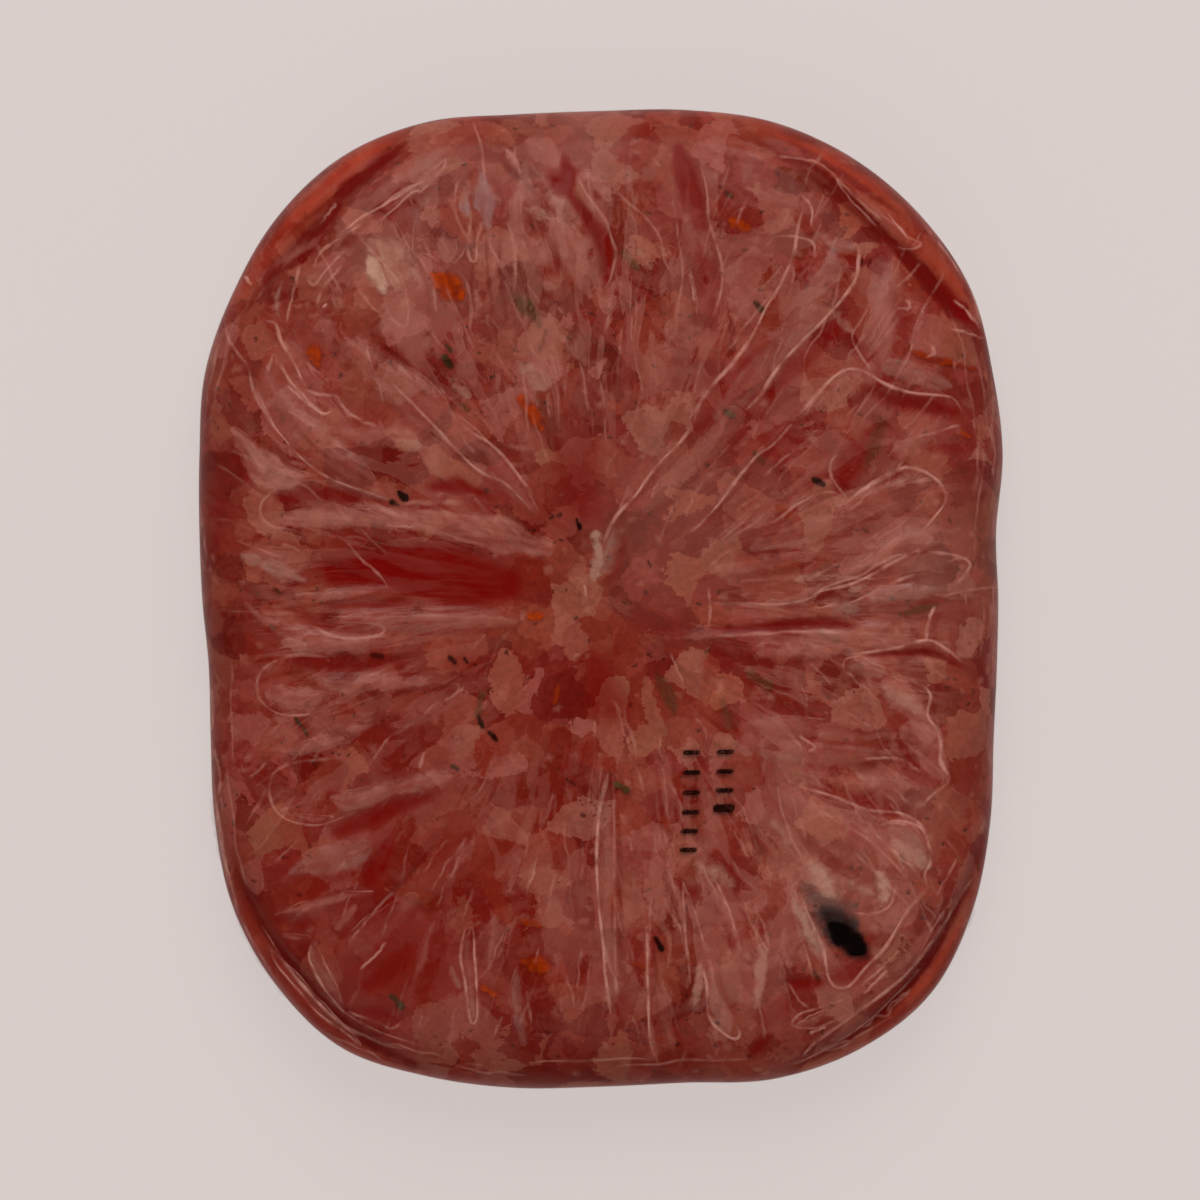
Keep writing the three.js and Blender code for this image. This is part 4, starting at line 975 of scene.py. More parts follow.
@dataclass
class ReliefMap:
    """The relief worked out once on a fine grid over the pack, and read anywhere between."""

    form: PackForm
    half_width: float = 72.0
    half_length: float = 93.0
    step: float = 0.3
    layers: dict[str, np.ndarray] = field(init=False)

    def __post_init__(self) -> None:
        """Work out the relief at every place of the grid."""
        across = np.arange(-self.half_width, self.half_width + self.step, self.step)
        along = np.arange(-self.half_length, self.half_length + self.step, self.step)
        x, y = np.meshgrid(across, along)
        relief = self.form.relief(x.ravel(), y.ravel())
        self.layers = {name: getattr(relief, name).reshape(x.shape) for name in Relief.__dataclass_fields__}

    def at(self, x: np.ndarray, y: np.ndarray) -> Relief:
        """Read the relief at places on the top.

        Args:
            x: places across, in millimetres.
            y: places along, in millimetres.

        Returns:
            The relief there.
        """
        rows, columns = self.layers["film"].shape
        u = np.clip((x + self.half_width) / self.step, 0, columns - 1.001)
        v = np.clip((y + self.half_length) / self.step, 0, rows - 1.001)
        left, low = u.astype(int), v.astype(int)
        u, v = u - left, v - low
        return Relief(**{
            name: ((layer[low, left] * (1 - u) + layer[low, left + 1] * u) * (1 - v)
                   + (layer[low + 1, left] * (1 - u) + layer[low + 1, left + 1] * u) * v)
            for name, layer in self.layers.items()})

    def film_level(self, x: np.ndarray, y: np.ndarray) -> np.ndarray:
        """Height of the film over places on the top, in millimetres."""
        share = np.hypot(x, y) / self.form.reach(np.arctan2(y, x))
        return self.form.top_level(share, self.at(x, y).film)

    def mince_level(self, x: np.ndarray, y: np.ndarray) -> np.ndarray:
        """Height of the mince over places on the top, in millimetres."""
        share = np.hypot(x, y) / self.form.reach(np.arctan2(y, x))
        return self.form.top_level(share, self.at(x, y).mince) - MinceSlab.gap


FORM = PackForm()
MIDDLE = FORM.middle()
SURFACE = ReliefMap(FORM)


@dataclass(frozen=True)
class SkinBlank:
    """A closed skin of rings round the pack, from the middle of its top to that of its underside."""

    name: str
    bearings: int
    top_step: float
    edge_step: float
    wall_step: float
    under_step: float

    def rings(self) -> tuple[np.ndarray, np.ndarray]:
        """Plan the rings by even steps over the surface.

        Returns:
            The share of the reach of each ring, poles included, and whether it is underneath.
        """
        share = np.linspace(0, 1, 4001)
        reach = float(np.mean(FORM.edge_reach))
        plans = []
        for level, step in (
            (FORM.top_level(share, 0.0), np.where(share < 0.82, self.top_step, self.edge_step)),
            (FORM.under_level(np.zeros_like(share), share),
             np.where(share < FORM.flat_share, self.under_step, self.wall_step)),
        ):
            stretch = np.hypot(np.diff(share) * reach, np.diff(level)) / step[1:]
            count = np.concatenate([[0.0], np.cumsum(stretch)])
            plans.append(np.interp(np.linspace(0, count[-1], round(count[-1]) + 1), count, share))
        top, under = plans
        shares = np.concatenate([top, under[-2::-1]])
        return shares, np.arange(len(shares)) >= len(top)

    def cut(self) -> tuple[bpy.types.Object, np.ndarray, np.ndarray, np.ndarray]:
        """Add the blank as a flat grid with one row of points a ring.

        Returns:
            The new object, and for each point its bearing, its share and whether it is underneath.
        """
        shares, under = self.rings()
        bpy.ops.object.select_all(action="DESELECT")
        bpy.ops.mesh.primitive_grid_add(
            x_subdivisions=self.bearings, y_subdivisions=len(shares) - 1, size=2.0, calc_uvs=False)
        skin = bpy.context.object
        skin.name = skin.data.name = self.name
        points = read_points(skin)
        ring = np.rint((points[:, 1] + 1) / 2 * (len(shares) - 1)).astype(int)
        return skin, points[:, 0] * np.pi, shares[ring], under[ring]

    @staticmethod
    def close(skin: bpy.types.Object) -> None:
        """Weld the skin's seam and the two middles, and turn its faces outwards."""
        bpy.ops.object.select_all(action="DESELECT")
        skin.select_set(True)
        bpy.context.view_layer.objects.active = skin
        bpy.ops.object.mode_set(mode="EDIT")
        bpy.ops.mesh.select_all(action="SELECT")
        bpy.ops.mesh.remove_doubles(threshold=1e-6)
        bpy.ops.mesh.normals_make_consistent(inside=False)
        bpy.ops.object.mode_set(mode="OBJECT")


def read_points(piece: bpy.types.Object) -> np.ndarray:
    """The piece's points as rows of x, y and z."""
    flat = np.empty(len(piece.data.vertices) * 3)
    piece.data.vertices.foreach_get("co", flat)
    return flat.reshape(-1, 3)


def write_points(piece: bpy.types.Object, x: np.ndarray, y: np.ndarray, z: np.ndarray) -> None:
    """Move the piece's points to places in millimetres from the pack's middle.

    Args:
        piece: a mesh object at the origin.
        x: places across.
        y: places along.
        z: heights.
    """
    rows = np.column_stack([x - MIDDLE[0], y - MIDDLE[1], z]) * MM
    piece.data.vertices.foreach_set("co", rows.ravel())
    piece.data.update()


def store(piece: bpy.types.Object, name: str, values: Any) -> None:
    """Keep one number, or three, for each point of the piece under a name that its finish reads.

    Args:
        piece: a mesh object.
        name: the attribute's name.
        values: a number, or one for each point, or three for all or for each.
    """
    count = len(piece.data.vertices)
    values = np.asarray(values, np.float32)
    one = values.shape in ((), (count,))
    attribute = piece.data.attributes.new(name, "FLOAT" if one else "FLOAT_VECTOR", "POINT")
    rows = np.broadcast_to(values, (count,) if one else (count, 3))
    attribute.data.foreach_set("value" if one else "vector", rows.ravel())


def smooth(piece: bpy.types.Object) -> None:
    """Shade the piece smoothly all over."""
    piece.data.polygons.foreach_set("use_smooth", np.ones(len(piece.data.polygons), bool))
    piece.data.update()


def flow_at(x: np.ndarray, y: np.ndarray) -> np.ndarray:
    """Directions in which the film is gathered, for patterns that are drawn out along its folds.

    Args:
        x: places across, in millimetres.
        y: places along, in millimetres.

    Returns:
        Rows of the fold's bearing as a cosine and a sine, and the distance from the middle in metres.
    """
    bent_x = 15 * np.tanh(x / 26) + 0.33 * x
    bent_y = 30 * np.tanh(y / 30) + 0.35 * y
    turn = np.arctan2(bent_y, bent_x)
    return np.column_stack([np.cos(turn), np.sin(turn), np.hypot(x, y) * MM])


@dataclass(frozen=True)
class RawMince:
    """Raw minced beef and offal, pressed flat: wet grains in reds, browns and pinks of 1 to 6 mm.

    It gives the eye a blurred mosaic with no hard edges, darker and glossier where juice collects.
    """

    zone: float = 20.0 * MM
    clump: float = 8.0 * MM
    grain: float = 4.2 * MM
    fibre: float = 1.0 * MM
    crumb: float = 2.2 * MM
    slab: float = 6.2 * MM
    relief: float = 0.4 * MM
    roughness: float = 0.5
    crumb_white: str = "c07c6a"
    speck_dark: str = "240c05"
    fatter_pink: str = "bd9080"
    leaner_red: str = "7c0f05"
    juice_red: str = "7a0401"
    roll_painted_light: str = "b43a22"
    groove_painted_shade: str = "640803"

    def make(self) -> bpy.types.Material:
        """Build the material."""
        material, add, shader = start_finish("raw_mince_pressed")
        place = add("TexCoord").outputs["Object"]
        clumps = add("TexNoise", {"Vector": place, "Scale": 1 / self.clump, "Detail": 4.0, "Roughness": 0.6})
        fibres = add("TexNoise", {"Vector": place, "Scale": 1 / self.fibre, "Detail": 3.0, "Roughness": 0.65})
        swept = add("MixRGB", {0: 0.005, 1: place, 2: clumps.outputs["Color"]}, blend_type="ADD")
        bent = add("MixRGB", {0: 0.0016, 1: swept, 2: fibres.outputs["Color"]}, blend_type="ADD")
        zones = add("TexNoise", {"Vector": place, "Scale": 1 / self.zone, "Detail": 1.0})
        ground = add("ValToRGB", {0: zones},
                     ((0.34, "88130f"), (0.44, "94281d"), (0.52, "8a3627"), (0.58, "943a31"),
                      (0.66, "8a4a37")))
        lumps = add("ValToRGB", {0: clumps},
                    ((0.30, "640d08"), (0.43, "8a2015"), (0.55, "9c3828"), (0.70, "b56350")))
        body = add("MixRGB", {0: 0.55, 1: ground, 2: lumps})
        cells = add("TexVoronoi", {"Vector": bent, "Scale": 1 / self.grain})
        pick = add("SeparateColor", {0: cells.outputs["Color"]})
        grains = add("ValToRGB", {0: pick},
                     ((0.16, "74120a"), (0.38, "982a1e"), (0.56, "92392a"), (0.74, "a84838"),
                      (0.88, "bd6a57")))
        granular = add("MixRGB", {0: 0.4, 1: body, 2: grains})
        # Slabs of one tissue, 4 to 8 mm, each plain in itself and cut off sharply from the next.
        slabs = add("TexVoronoi", {"Vector": bent, "Scale": 1 / self.slab})
        slab_pick = add("SeparateColor", {0: slabs.outputs["Color"]})
        tissue = add("ValToRGB", {0: slab_pick},
                     ((0.10, "5c0f08"), (0.32, "7c1f17"), (0.55, "8e3829"), (0.74, "9e4f41"),
                      (0.92, "ae6c5a")))
        cast = add("ValToRGB", {0: slab_pick.outputs[1]},
                   ((0.15, "ffdcb8"), (0.40, "ffffff"), (0.66, "f4f2d2"), (0.86, "ffe2f2")))
        cut = add("MixRGB", {0: 0.5, 1: granular, 2: tissue})
        mixed = add("MixRGB", {0: 0.6, 1: cut, 2: cast}, blend_type="MULTIPLY")
        shade = add("ValToRGB", {0: fibres}, ((0.30, "b0b0b0"), (0.50, "dedede"), (0.68, "ffffff")))
        fine = add("MixRGB", {0: 0.42, 1: mixed, 2: shade}, blend_type="MULTIPLY")
        # Crumbs of white fat, about 1 mm, in one cell of ten, and specks of herb and skin.
        crumbs = add("TexVoronoi", {"Vector": bent, "Scale": 1 / self.crumb})
        crumb_pick = add("SeparateColor", {0: crumbs.outputs["Color"]})
        crumb_is = add("Math", {0: crumb_pick.outputs[1], 1: 0.88}, operation="GREATER_THAN")
        crumb_core = add("MapRange", {0: crumbs, 1: 0.5, 2: 0.1, 4: 0.3})
        crumb_share = add("Math", {0: crumb_is, 1: crumb_core}, operation="MULTIPLY")
        speck_core = add("MapRange", {0: crumbs, 1: 0.26, 2: 0.08, 4: 0.8})
        speck_is = add("Math", {0: crumb_pick.outputs[1], 1: 0.22}, operation="LESS_THAN")
        speck_share = add("Math", {0: speck_is, 1: speck_core}, operation="MULTIPLY")
        with_fat = add("MixRGB", {0: crumb_share, 1: fine, 2: linear(self.crumb_white)})
        with_specks = add("MixRGB", {0: speck_share, 1: with_fat, 2: linear(self.speck_dark)})
        fat = add("Attribute", attribute_name="fat").outputs["Fac"]
        fatter = add("MapRange", {0: fat})
        leaner = add("MapRange", {0: fat, 1: 0.0, 2: -1.0})
        paled = add("MixRGB", {0: fatter, 1: with_specks, 2: linear(self.fatter_pink)})
        reddened = add("MixRGB", {0: leaner, 1: paled, 2: linear(self.leaner_red)})
        juice = add("Attribute", attribute_name="juice").outputs["Fac"]
        edge = add("Math", {0: clumps, 1: 0.7, 2: juice}, operation="MULTIPLY_ADD")
        wet = add("MapRange", {0: edge, 1: 0.5, 2: 1.3, 4: 0.97})
        wetted = add("MixRGB", {0: wet, 1: reddened, 2: linear(self.juice_red)})
        # Painted light: the mince on the roll outside each tuck is made a lighter orange-red, as if lit
        # through the roll.
        roll = add("Attribute", attribute_name="roll").outputs["Fac"]
        roll_light_share = add("Math", {0: roll, 1: 0.4}, operation="MULTIPLY")
        roll_lit = add("MixRGB", {0: roll_light_share, 1: wetted, 2: linear(self.roll_painted_light)})
        # Painted shade: the mince down in each tuck's groove is darkened towards groove_painted_shade.
        groove = add("Attribute", attribute_name="groove").outputs["Fac"]
        groove_shade_share = add("Math", {0: groove, 1: 0.8}, operation="MULTIPLY", use_clamp=True)
        groove_shaded = add("MixRGB", {0: groove_shade_share, 1: roll_lit, 2: linear(self.groove_painted_shade)})
        rise = add("Bump", {"Height": fibres, "Strength": 0.3, "Distance": self.relief})
        feed(shader, {"Base Color": groove_shaded, "Normal": rise, "Roughness": self.roughness, "IOR": 1.33,
                      "Specular IOR Level": 0.05})
        return material


@dataclass(frozen=True)
class SoakedBit:
    """A bit in the mince, soaked in juice: carrot, fat, herb or skin, with an edge that fades."""

    name: str
    dark: str
    pale: str
    mottling: float = 1.5 * MM
    roughness: float = 0.4

    def make(self) -> bpy.types.Material:
        """Build the material."""
        material, add, shader = start_finish(self.name)
        place = add("TexCoord").outputs["Object"]
        edge, cover, soft, tone = (add("Attribute", attribute_name=name).outputs["Fac"]
                                   for name in ("edge_mm", "cover", "soft", "tone"))
        mottle = add("TexNoise", {"Vector": place, "Scale": 1 / self.mottling, "Detail": 3.0})
        bitten = add("MapRange", {0: mottle, 1: 0.3, 2: 0.7, 3: -0.6, 4: 0.1})
        ragged = add("Math", {0: soft, 1: 1.1}, operation="MINIMUM")
        worn = add("Math", {0: bitten, 1: ragged, 2: edge}, operation="MULTIPLY_ADD")
        fade = add("MapRange", {0: worn, 2: soft}, interpolation_type="SMOOTHSTEP")
        soaked = add("MapRange", {0: mottle, 1: 0.32, 2: 0.6, 3: 0.8})
        covered = add("Math", {0: fade, 1: cover}, operation="MULTIPLY")
        share = add("Math", {0: covered, 1: soaked}, operation="MULTIPLY")
        shift = add("MapRange", {0: mottle, 1: 0.3, 2: 0.7, 3: -0.28, 4: 0.28})
        toned = add("Math", {0: tone, 1: shift}, use_clamp=True)
        colour = add("MixRGB", {0: toned, 1: linear(self.dark), 2: linear(self.pale)})
        feed(shader,
             {"Base Color": colour, "Roughness": self.roughness, "IOR": 1.36, "Specular IOR Level": 0.02})
        return see_through(material, share, shader)


@dataclass(frozen=True)
class PrintInk:
    """Black solvent ink jetted on film: thin, slightly brown, with soft edges and pinholes."""

    colour: str = "160402"
    pinhole: float = 0.5 * MM

    def make(self) -> bpy.types.Material:
        """Build the material."""
        material, add, shader = start_finish("inkjet_solvent_black")
        place = add("TexCoord").outputs["Object"]
        edge = add("Attribute", attribute_name="edge_mm").outputs["Fac"]
        grain = add("TexNoise", {"Vector": place, "Scale": 1 / self.pinhole, "Detail": 1.0})
        holes = add("MapRange", {0: grain, 1: 0.3, 2: 0.55, 3: 0.7, 4: 0.98})
        fade = add("MapRange", {0: edge, 2: 0.16})
        share = add("Math", {0: fade, 1: holes}, operation="MULTIPLY")
        feed(shader, {"Base Color": linear(self.colour), "Roughness": 0.5, "Specular IOR Level": 0.03})
        return see_through(material, share, shader)


@dataclass(frozen=True)
class ClearFilm:
    """Clear shrink film, blown polyolefin of 0.05 mm: glossy, colourless, milky only where slack.

    Where air lifts it the eye sees a pale haze with a light line along the edge of the gap.
    """

    pleat: float = 0.1
    pleat_run: float = 16 * MM
    cell: float = 0.09
    cell_run: float = 6.5 * MM
    cloud: float = 11 * MM
    relief: float = 0.25 * MM
    roughness: float = 0.16
    milk: str = "be7869"

    def make(self) -> bpy.types.Material:
        """Build the material."""
        material, add, shader = start_finish("clear_shrink_film")
        place = add("TexCoord").outputs["Object"]
        flow = add("Attribute", attribute_name="flow").outputs["Vector"]
        drawn, crossed = (add("VectorMath", {0: flow, 1: (1 / across, 1 / across, 1 / run)},
                              operation="MULTIPLY")
                          for across, run in ((self.pleat, self.pleat_run), (self.cell, self.cell_run)))
        gathers = add("TexNoise",
                      {"Vector": drawn, "Scale": 1.0, "Detail": 3.0, "Roughness": 0.55, "Distortion": 0.7})
        slack = add("Attribute", attribute_name="slack").outputs["Fac"]
        cells = add("TexNoise",
                    {"Vector": crossed, "Scale": 1.0, "Detail": 2.0, "Roughness": 0.5, "Distortion": 1.1})
        cell_line = add("Math", {0: cells, 1: 0.5, 2: 0.012}, operation="COMPARE")
        cell_fill = add("MapRange", {0: cells, 1: 0.52, 2: 0.55, 4: 0.1})
        cell_veil = add("Math", {0: cell_line, 1: 0.1, 2: cell_fill}, operation="MULTIPLY_ADD")
        patches = add("MapRange", {0: gathers, 1: 0.51, 2: 0.535})
        away = add("Math", {0: gathers, 1: 0.52, 2: 0.016}, operation="COMPARE")
        cloud = add("TexNoise", {"Vector": place, "Scale": 1 / self.cloud, "Detail": 2.0})
        line_here = add("MapRange", {0: cloud, 1: 0.45, 2: 0.62, 4: 0.15})
        lines = add("Math", {0: away, 1: line_here}, operation="MULTIPLY")
        veil = add("MapRange", {0: cloud, 1: 0.3, 2: 0.7, 4: 0.006})
        patch_veil = add("Math", {0: patches, 1: 0.17, 2: lines}, operation="MULTIPLY_ADD")
        both = add("Math", {0: patch_veil, 1: cell_veil})
        slack_veil = add("Math", {0: both, 1: slack, 2: veil}, operation="MULTIPLY_ADD")
        rise = add("Bump", {"Height": gathers, "Strength": 0.4, "Distance": self.relief})
        clear = add("BsdfTransparent")
        gloss = add("BsdfGlossy", {"Roughness": self.roughness, "Normal": rise})
        # A film wetted on the inside mirrors with one face only, the same from both sides.
        facing = add("LayerWeight", {"Blend": 0.5, "Normal": rise})
        grazing = add("Math", {0: facing.outputs["Facing"], 1: 5.0}, operation="POWER")
        mirror = add("Math", {0: grazing, 1: 0.3, 2: 0.004}, operation="MULTIPLY_ADD")
        # Painted shade: down in a pinch or a tuck's groove the mirror is dimmed, standing in for the wet film
        # across the gap, which would shade what it mirrors.
        tight = add("Attribute", attribute_name="tight").outputs["Fac"]
        mirror_unshaded_share = add("MapRange", {0: tight, 3: 1, 4: 0.1})
        mirror_with_painted_shade = add("Math", {0: mirror, 1: mirror_unshaded_share}, operation="MULTIPLY")
        pane = add("MixShader", {0: mirror_with_painted_shade, 1: clear, 2: gloss})
        whole = add("MixShader", {0: slack_veil, 1: pane, 2: shader})
        feed(material.node_tree.nodes["Material Output"], {"Surface": whole})
        feed(shader, {"Base Color": linear(self.milk), "Roughness": 0.3, "Normal": rise})
        return material


@dataclass(frozen=True)
class SlackFilm:
    """The same film where a fold stands off the mince: milky in the middle, with a pale line of the film's
    own along its edge, painted brighter as a highlight on the side facing the light.
    """

    mottling: float = 2.6 * MM
    break_run: float = 5 * MM
    rim: str = "dca698"

    def make(self) -> bpy.types.Material:
        """Build the material."""
        material, add, shader = start_finish("shrink_film_slack")
        place = add("TexCoord").outputs["Object"]
        edge, haze, rim, soft, side = (add("Attribute", attribute_name=name).outputs["Fac"]
                                       for name in ("edge_mm", "haze", "rim", "soft", "side"))
        tint, along = (add("Attribute", attribute_name=name).outputs["Vector"] for name in ("tint", "along"))
        streaks = add("TexNoise", {"Vector": along, "Scale": 1.0, "Detail": 2.0, "Distortion": 0.5})
        streak = add("MapRange", {0: streaks, 1: 0.36, 2: 0.62, 3: 0.55, 4: 1.3})
        mottle = add("TexNoise",
                     {"Vector": place, "Scale": 1 / self.mottling, "Detail": 3.0, "Roughness": 0.6})
        depth = add("MapRange", {0: mottle, 1: 0.25, 2: 0.75, 3: 0.55, 4: 1.25})
        ragged = add("MapRange", {0: mottle, 1: 0.3, 2: 0.7, 3: -0.35, 4: 0.2})
        worn = add("Math", {0: edge, 1: ragged})
        fill = add("MapRange", {0: worn, 2: soft}, interpolation_type="SMOOTHSTEP")
        crisp = add("MapRange", {0: edge, 1: 0.05, 2: 0.3}, interpolation_type="SMOOTHSTEP")
        band = add("MapRange", {0: edge, 1: 0.45, 2: 0.15}, interpolation_type="SMOOTHSTEP")
        start = add("MapRange", {0: edge, 2: 0.1})
        broken = add("TexNoise", {"Vector": place, "Scale": 1 / self.break_run, "Detail": 2.0})
        held = add("MapRange", {0: broken, 1: 0.42, 2: 0.64, 4: 0.6})
        mottled, bright = fill, band
        for factor in (crisp, haze, streak, depth):
            mottled = add("Math", {0: mottled, 1: factor}, operation="MULTIPLY")
        # Painted highlight: side makes the rim line bright on the fold's edge toward the light and faint on
        # its shaded edge.
        for factor in (start, rim, side, held):
            bright = add("Math", {0: bright, 1: factor}, operation="MULTIPLY")
        cover = add("Math", {0: mottled, 1: bright}, operation="MAXIMUM", use_clamp=True)
        lit = add("MixRGB", {0: bright, 1: tint, 2: linear(self.rim)})
        feed(shader, {"Base Color": lit, "Roughness": 0.4, "Specular IOR Level": 0.12})
        return see_through(material, cover, shader)


@dataclass(frozen=True)
class GapShadePaint:
    """Painted shade laid on the film where it is pinched down on the mince and beside whatever stands up: a
    dark, see-through sheet, brown where dry and dark red where wet.
    """

    mottling: float = 2 * MM
    # brown is the colour of painted shade in a dry gap, red that of painted shade over juice.
    brown: str = "4c140d"
    red: str = "7a0807"

    def make(self) -> bpy.types.Material:
        """Build the material."""
        material, add, shader = start_finish("painted_gap_shade")
        place = add("TexCoord").outputs["Object"]
        edge, depth, wet, soft = (add("Attribute", attribute_name=name).outputs["Fac"]
                                  for name in ("edge_mm", "depth", "wet", "soft"))
        mottle = add("TexNoise", {"Vector": place, "Scale": 1 / self.mottling, "Detail": 3.0})
        ragged = add("MapRange", {0: mottle, 1: 0.3, 2: 0.7, 3: -0.25, 4: 0.15})
        worn = add("Math", {0: edge, 1: ragged})
        fade = add("MapRange", {0: worn, 2: soft}, interpolation_type="SMOOTHSTEP")
        uneven = add("MapRange", {0: mottle, 1: 0.3, 2: 0.65, 3: 0.6, 4: 1.1})
        held = add("Math", {0: fade, 1: uneven}, operation="MULTIPLY")
        cover = add("Math", {0: held, 1: depth}, operation="MULTIPLY", use_clamp=True)
        colour = add("MixRGB", {0: wet, 1: linear(self.brown), 2: linear(self.red)})
        feed(shader, {"Base Color": colour, "Roughness": 0.6, "Specular IOR Level": 0.02})
        return see_through(material, cover, shader)


@dataclass(frozen=True)
class CreasedFilm:
    """A sharp crease in the film, where it is bent double and scatters light: a thin pale line."""

    break_run: float = 3.4 * MM
    pale: str = "e2a090"

    def make(self) -> bpy.types.Material:
        """Build the material."""
        material, add, shader = start_finish("shrink_film_creased")
        place = add("TexCoord").outputs["Object"]
        bright = add("Attribute", attribute_name="bright").outputs["Fac"]
        broken = add("TexNoise", {"Vector": place, "Scale": 1 / self.break_run, "Detail": 3.0})
        held = add("MapRange", {0: broken, 1: 0.36, 2: 0.6, 3: 0.16, 4: 1.15})
        cover = add("Math", {0: bright, 1: held}, operation="MULTIPLY", use_clamp=True)
        feed(shader, {"Base Color": linear(self.pale), "Roughness": 0.35, "Specular IOR Level": 0.12})
        return see_through(material, cover, shader)




def dress(
    piece: bpy.types.Object,
    material: bpy.types.Material,
    clear: bool = False,
) -> bpy.types.Object:
    """Give a piece its finish and its place on the pack.

    Args:
        piece: the finished mesh object.
        material: its finish.
        clear: whether it is clear film, which lets light through to the mince and casts no shadow.

    Returns:
        The same piece.
    """
    piece.data.materials.clear()
    piece.data.materials.append(material)
    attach(piece, "root")
    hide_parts("pack")
    piece.visible_shadow = piece.visible_diffuse = not clear
    return piece


@dataclass
class MinceSlab:
    """The slab of mince, a third of a millimetre inside the film."""

    gap: float = 0.35
    side_gap: float = 0.12
    under_gap: float = 0.105
    bump: float = 0.1
    blank: SkinBlank = SkinBlank("mince_slab", 600, 1.1, 0.9, 1.4, 4.5)

    def build(self) -> bpy.types.Object:
        """Shape the slab and keep what its finish reads."""
        slab, bearing, share, under = self.blank.cut()
        reach = FORM.reach(bearing) - self.side_gap
        x, y = share * reach * np.cos(bearing), share * reach * np.sin(bearing)
        relief = SURFACE.at(x, y)
        lumps = np.sin(x * 1.9 + 2 * np.sin(y * 0.83)) * np.sin(y * 2.1 + 2 * np.sin(x * 0.71))
        top = FORM.top_level(share, relief.mince + self.bump * (lumps - 1)) - self.gap
        bottom = np.maximum(FORM.under_level(bearing, share), self.under_gap)
        write_points(slab, x, y, np.where(under, bottom, top))
        # groove and roll carry the painted shade in the tuck grooves and the painted light on the rolls
        # outside them.
        kept = {"fat": fatness(x, y), "juice": relief.juice, "groove": relief.groove, "roll": relief.roll}
        for name, values in kept.items():
            store(slab, name, np.where(under, 0.0, values))
        self.blank.close(slab)
        smooth(slab)
        return dress(slab, RawMince().make())


@dataclass
class FilmWrap:
    """The film round the whole slab, as one closed skin.

    Its slack starts past the hollow, falls again at the shoulder, and grows over fatter mince and at
    the pack's ends. Places and runs along the reach are shares of it.
    """

    side_gap: float = 0.02
    slack_from: float = 0.2
    slack_run: float = 0.25
    shoulder_from: float = 0.8
    shoulder_run: float = 0.12
    shoulder_hold: float = 0.85
    fat_slack: float = 1.3
    end_slack: float = 0.25
    end_run: float = 16.0
    juice_hold: float = 0.7
    bit_hold: float = 0.85
    pinch_hold: float = 0.8
    under_slack: float = 0.4
    blank: SkinBlank = SkinBlank("film_wrap", 760, 1.3, 0.75, 1.4, 4.5)

    def build(self) -> bpy.types.Object:
        """Shape the film and keep what its finish reads."""
        film, bearing, share, under = self.blank.cut()
        reach = FORM.reach(bearing) - self.side_gap
        x, y = share * reach * np.cos(bearing), share * reach * np.sin(bearing)
        relief = SURFACE.at(x, y)
        z = np.where(under, FORM.under_level(bearing, share), FORM.top_level(share, relief.film))
        write_points(film, x, y, z)
        # tight marks the grooves and pinches: there it keeps the film clear of haze, and it dims the film's
        # mirror as painted shade.
        tight = relief.groove.copy()
        for pinch in PINCHES:
            tight = np.maximum(tight, pinch.depth * ease(inside_by(x, y, pinch.path, 1.0) / 0.8 + 0.6))
        tight = np.where(under, 0.0, np.clip(tight, 0, 1))
        slack = self.slack_at(x, y, share, relief) * (1 - self.pinch_hold * tight)
        store(film, "flow", flow_at(x, y))
        store(film, "tight", tight)
        store(film, "slack", np.where(under, self.under_slack * slack, slack))
        self.blank.close(film)
        smooth(film)
        return dress(film, ClearFilm().make(), clear=True)

    def slack_at(self, x: np.ndarray, y: np.ndarray, share: np.ndarray, relief: Relief) -> np.ndarray:
        """How slack the film is away from the pinches.

        Args:
            x: places across, in millimetres.
            y: places along, in millimetres.
            share: their distances from the middle as shares of the edge's reach.
            relief: the relief there.

        Returns:
            The slack, from 0 where the film lies tight.
        """
        shoulder = self.shoulder_hold * ease((share - self.shoulder_from) / self.shoulder_run)
        slack = ease((share - self.slack_from) / self.slack_run) * (1 - shoulder)
        ends = self.end_slack * ease((np.abs(y) - END_BAND) / self.end_run)
        slack *= (1 + self.fat_slack * fatness(x, y)) * (1 + ends) * (1 - self.juice_hold * relief.juice)
        # The film lies tight over what is darkest or brightest, so that nothing milky covers it.
        for bit in CARROT + tuple(bit for bit in HERB + SCRAP if bit.tone < 0.35):
            slack *= 1 - self.bit_hold * ease(inside_by(x, y, bit.path, 1.5) / 1.5 + 0.8)
        return slack


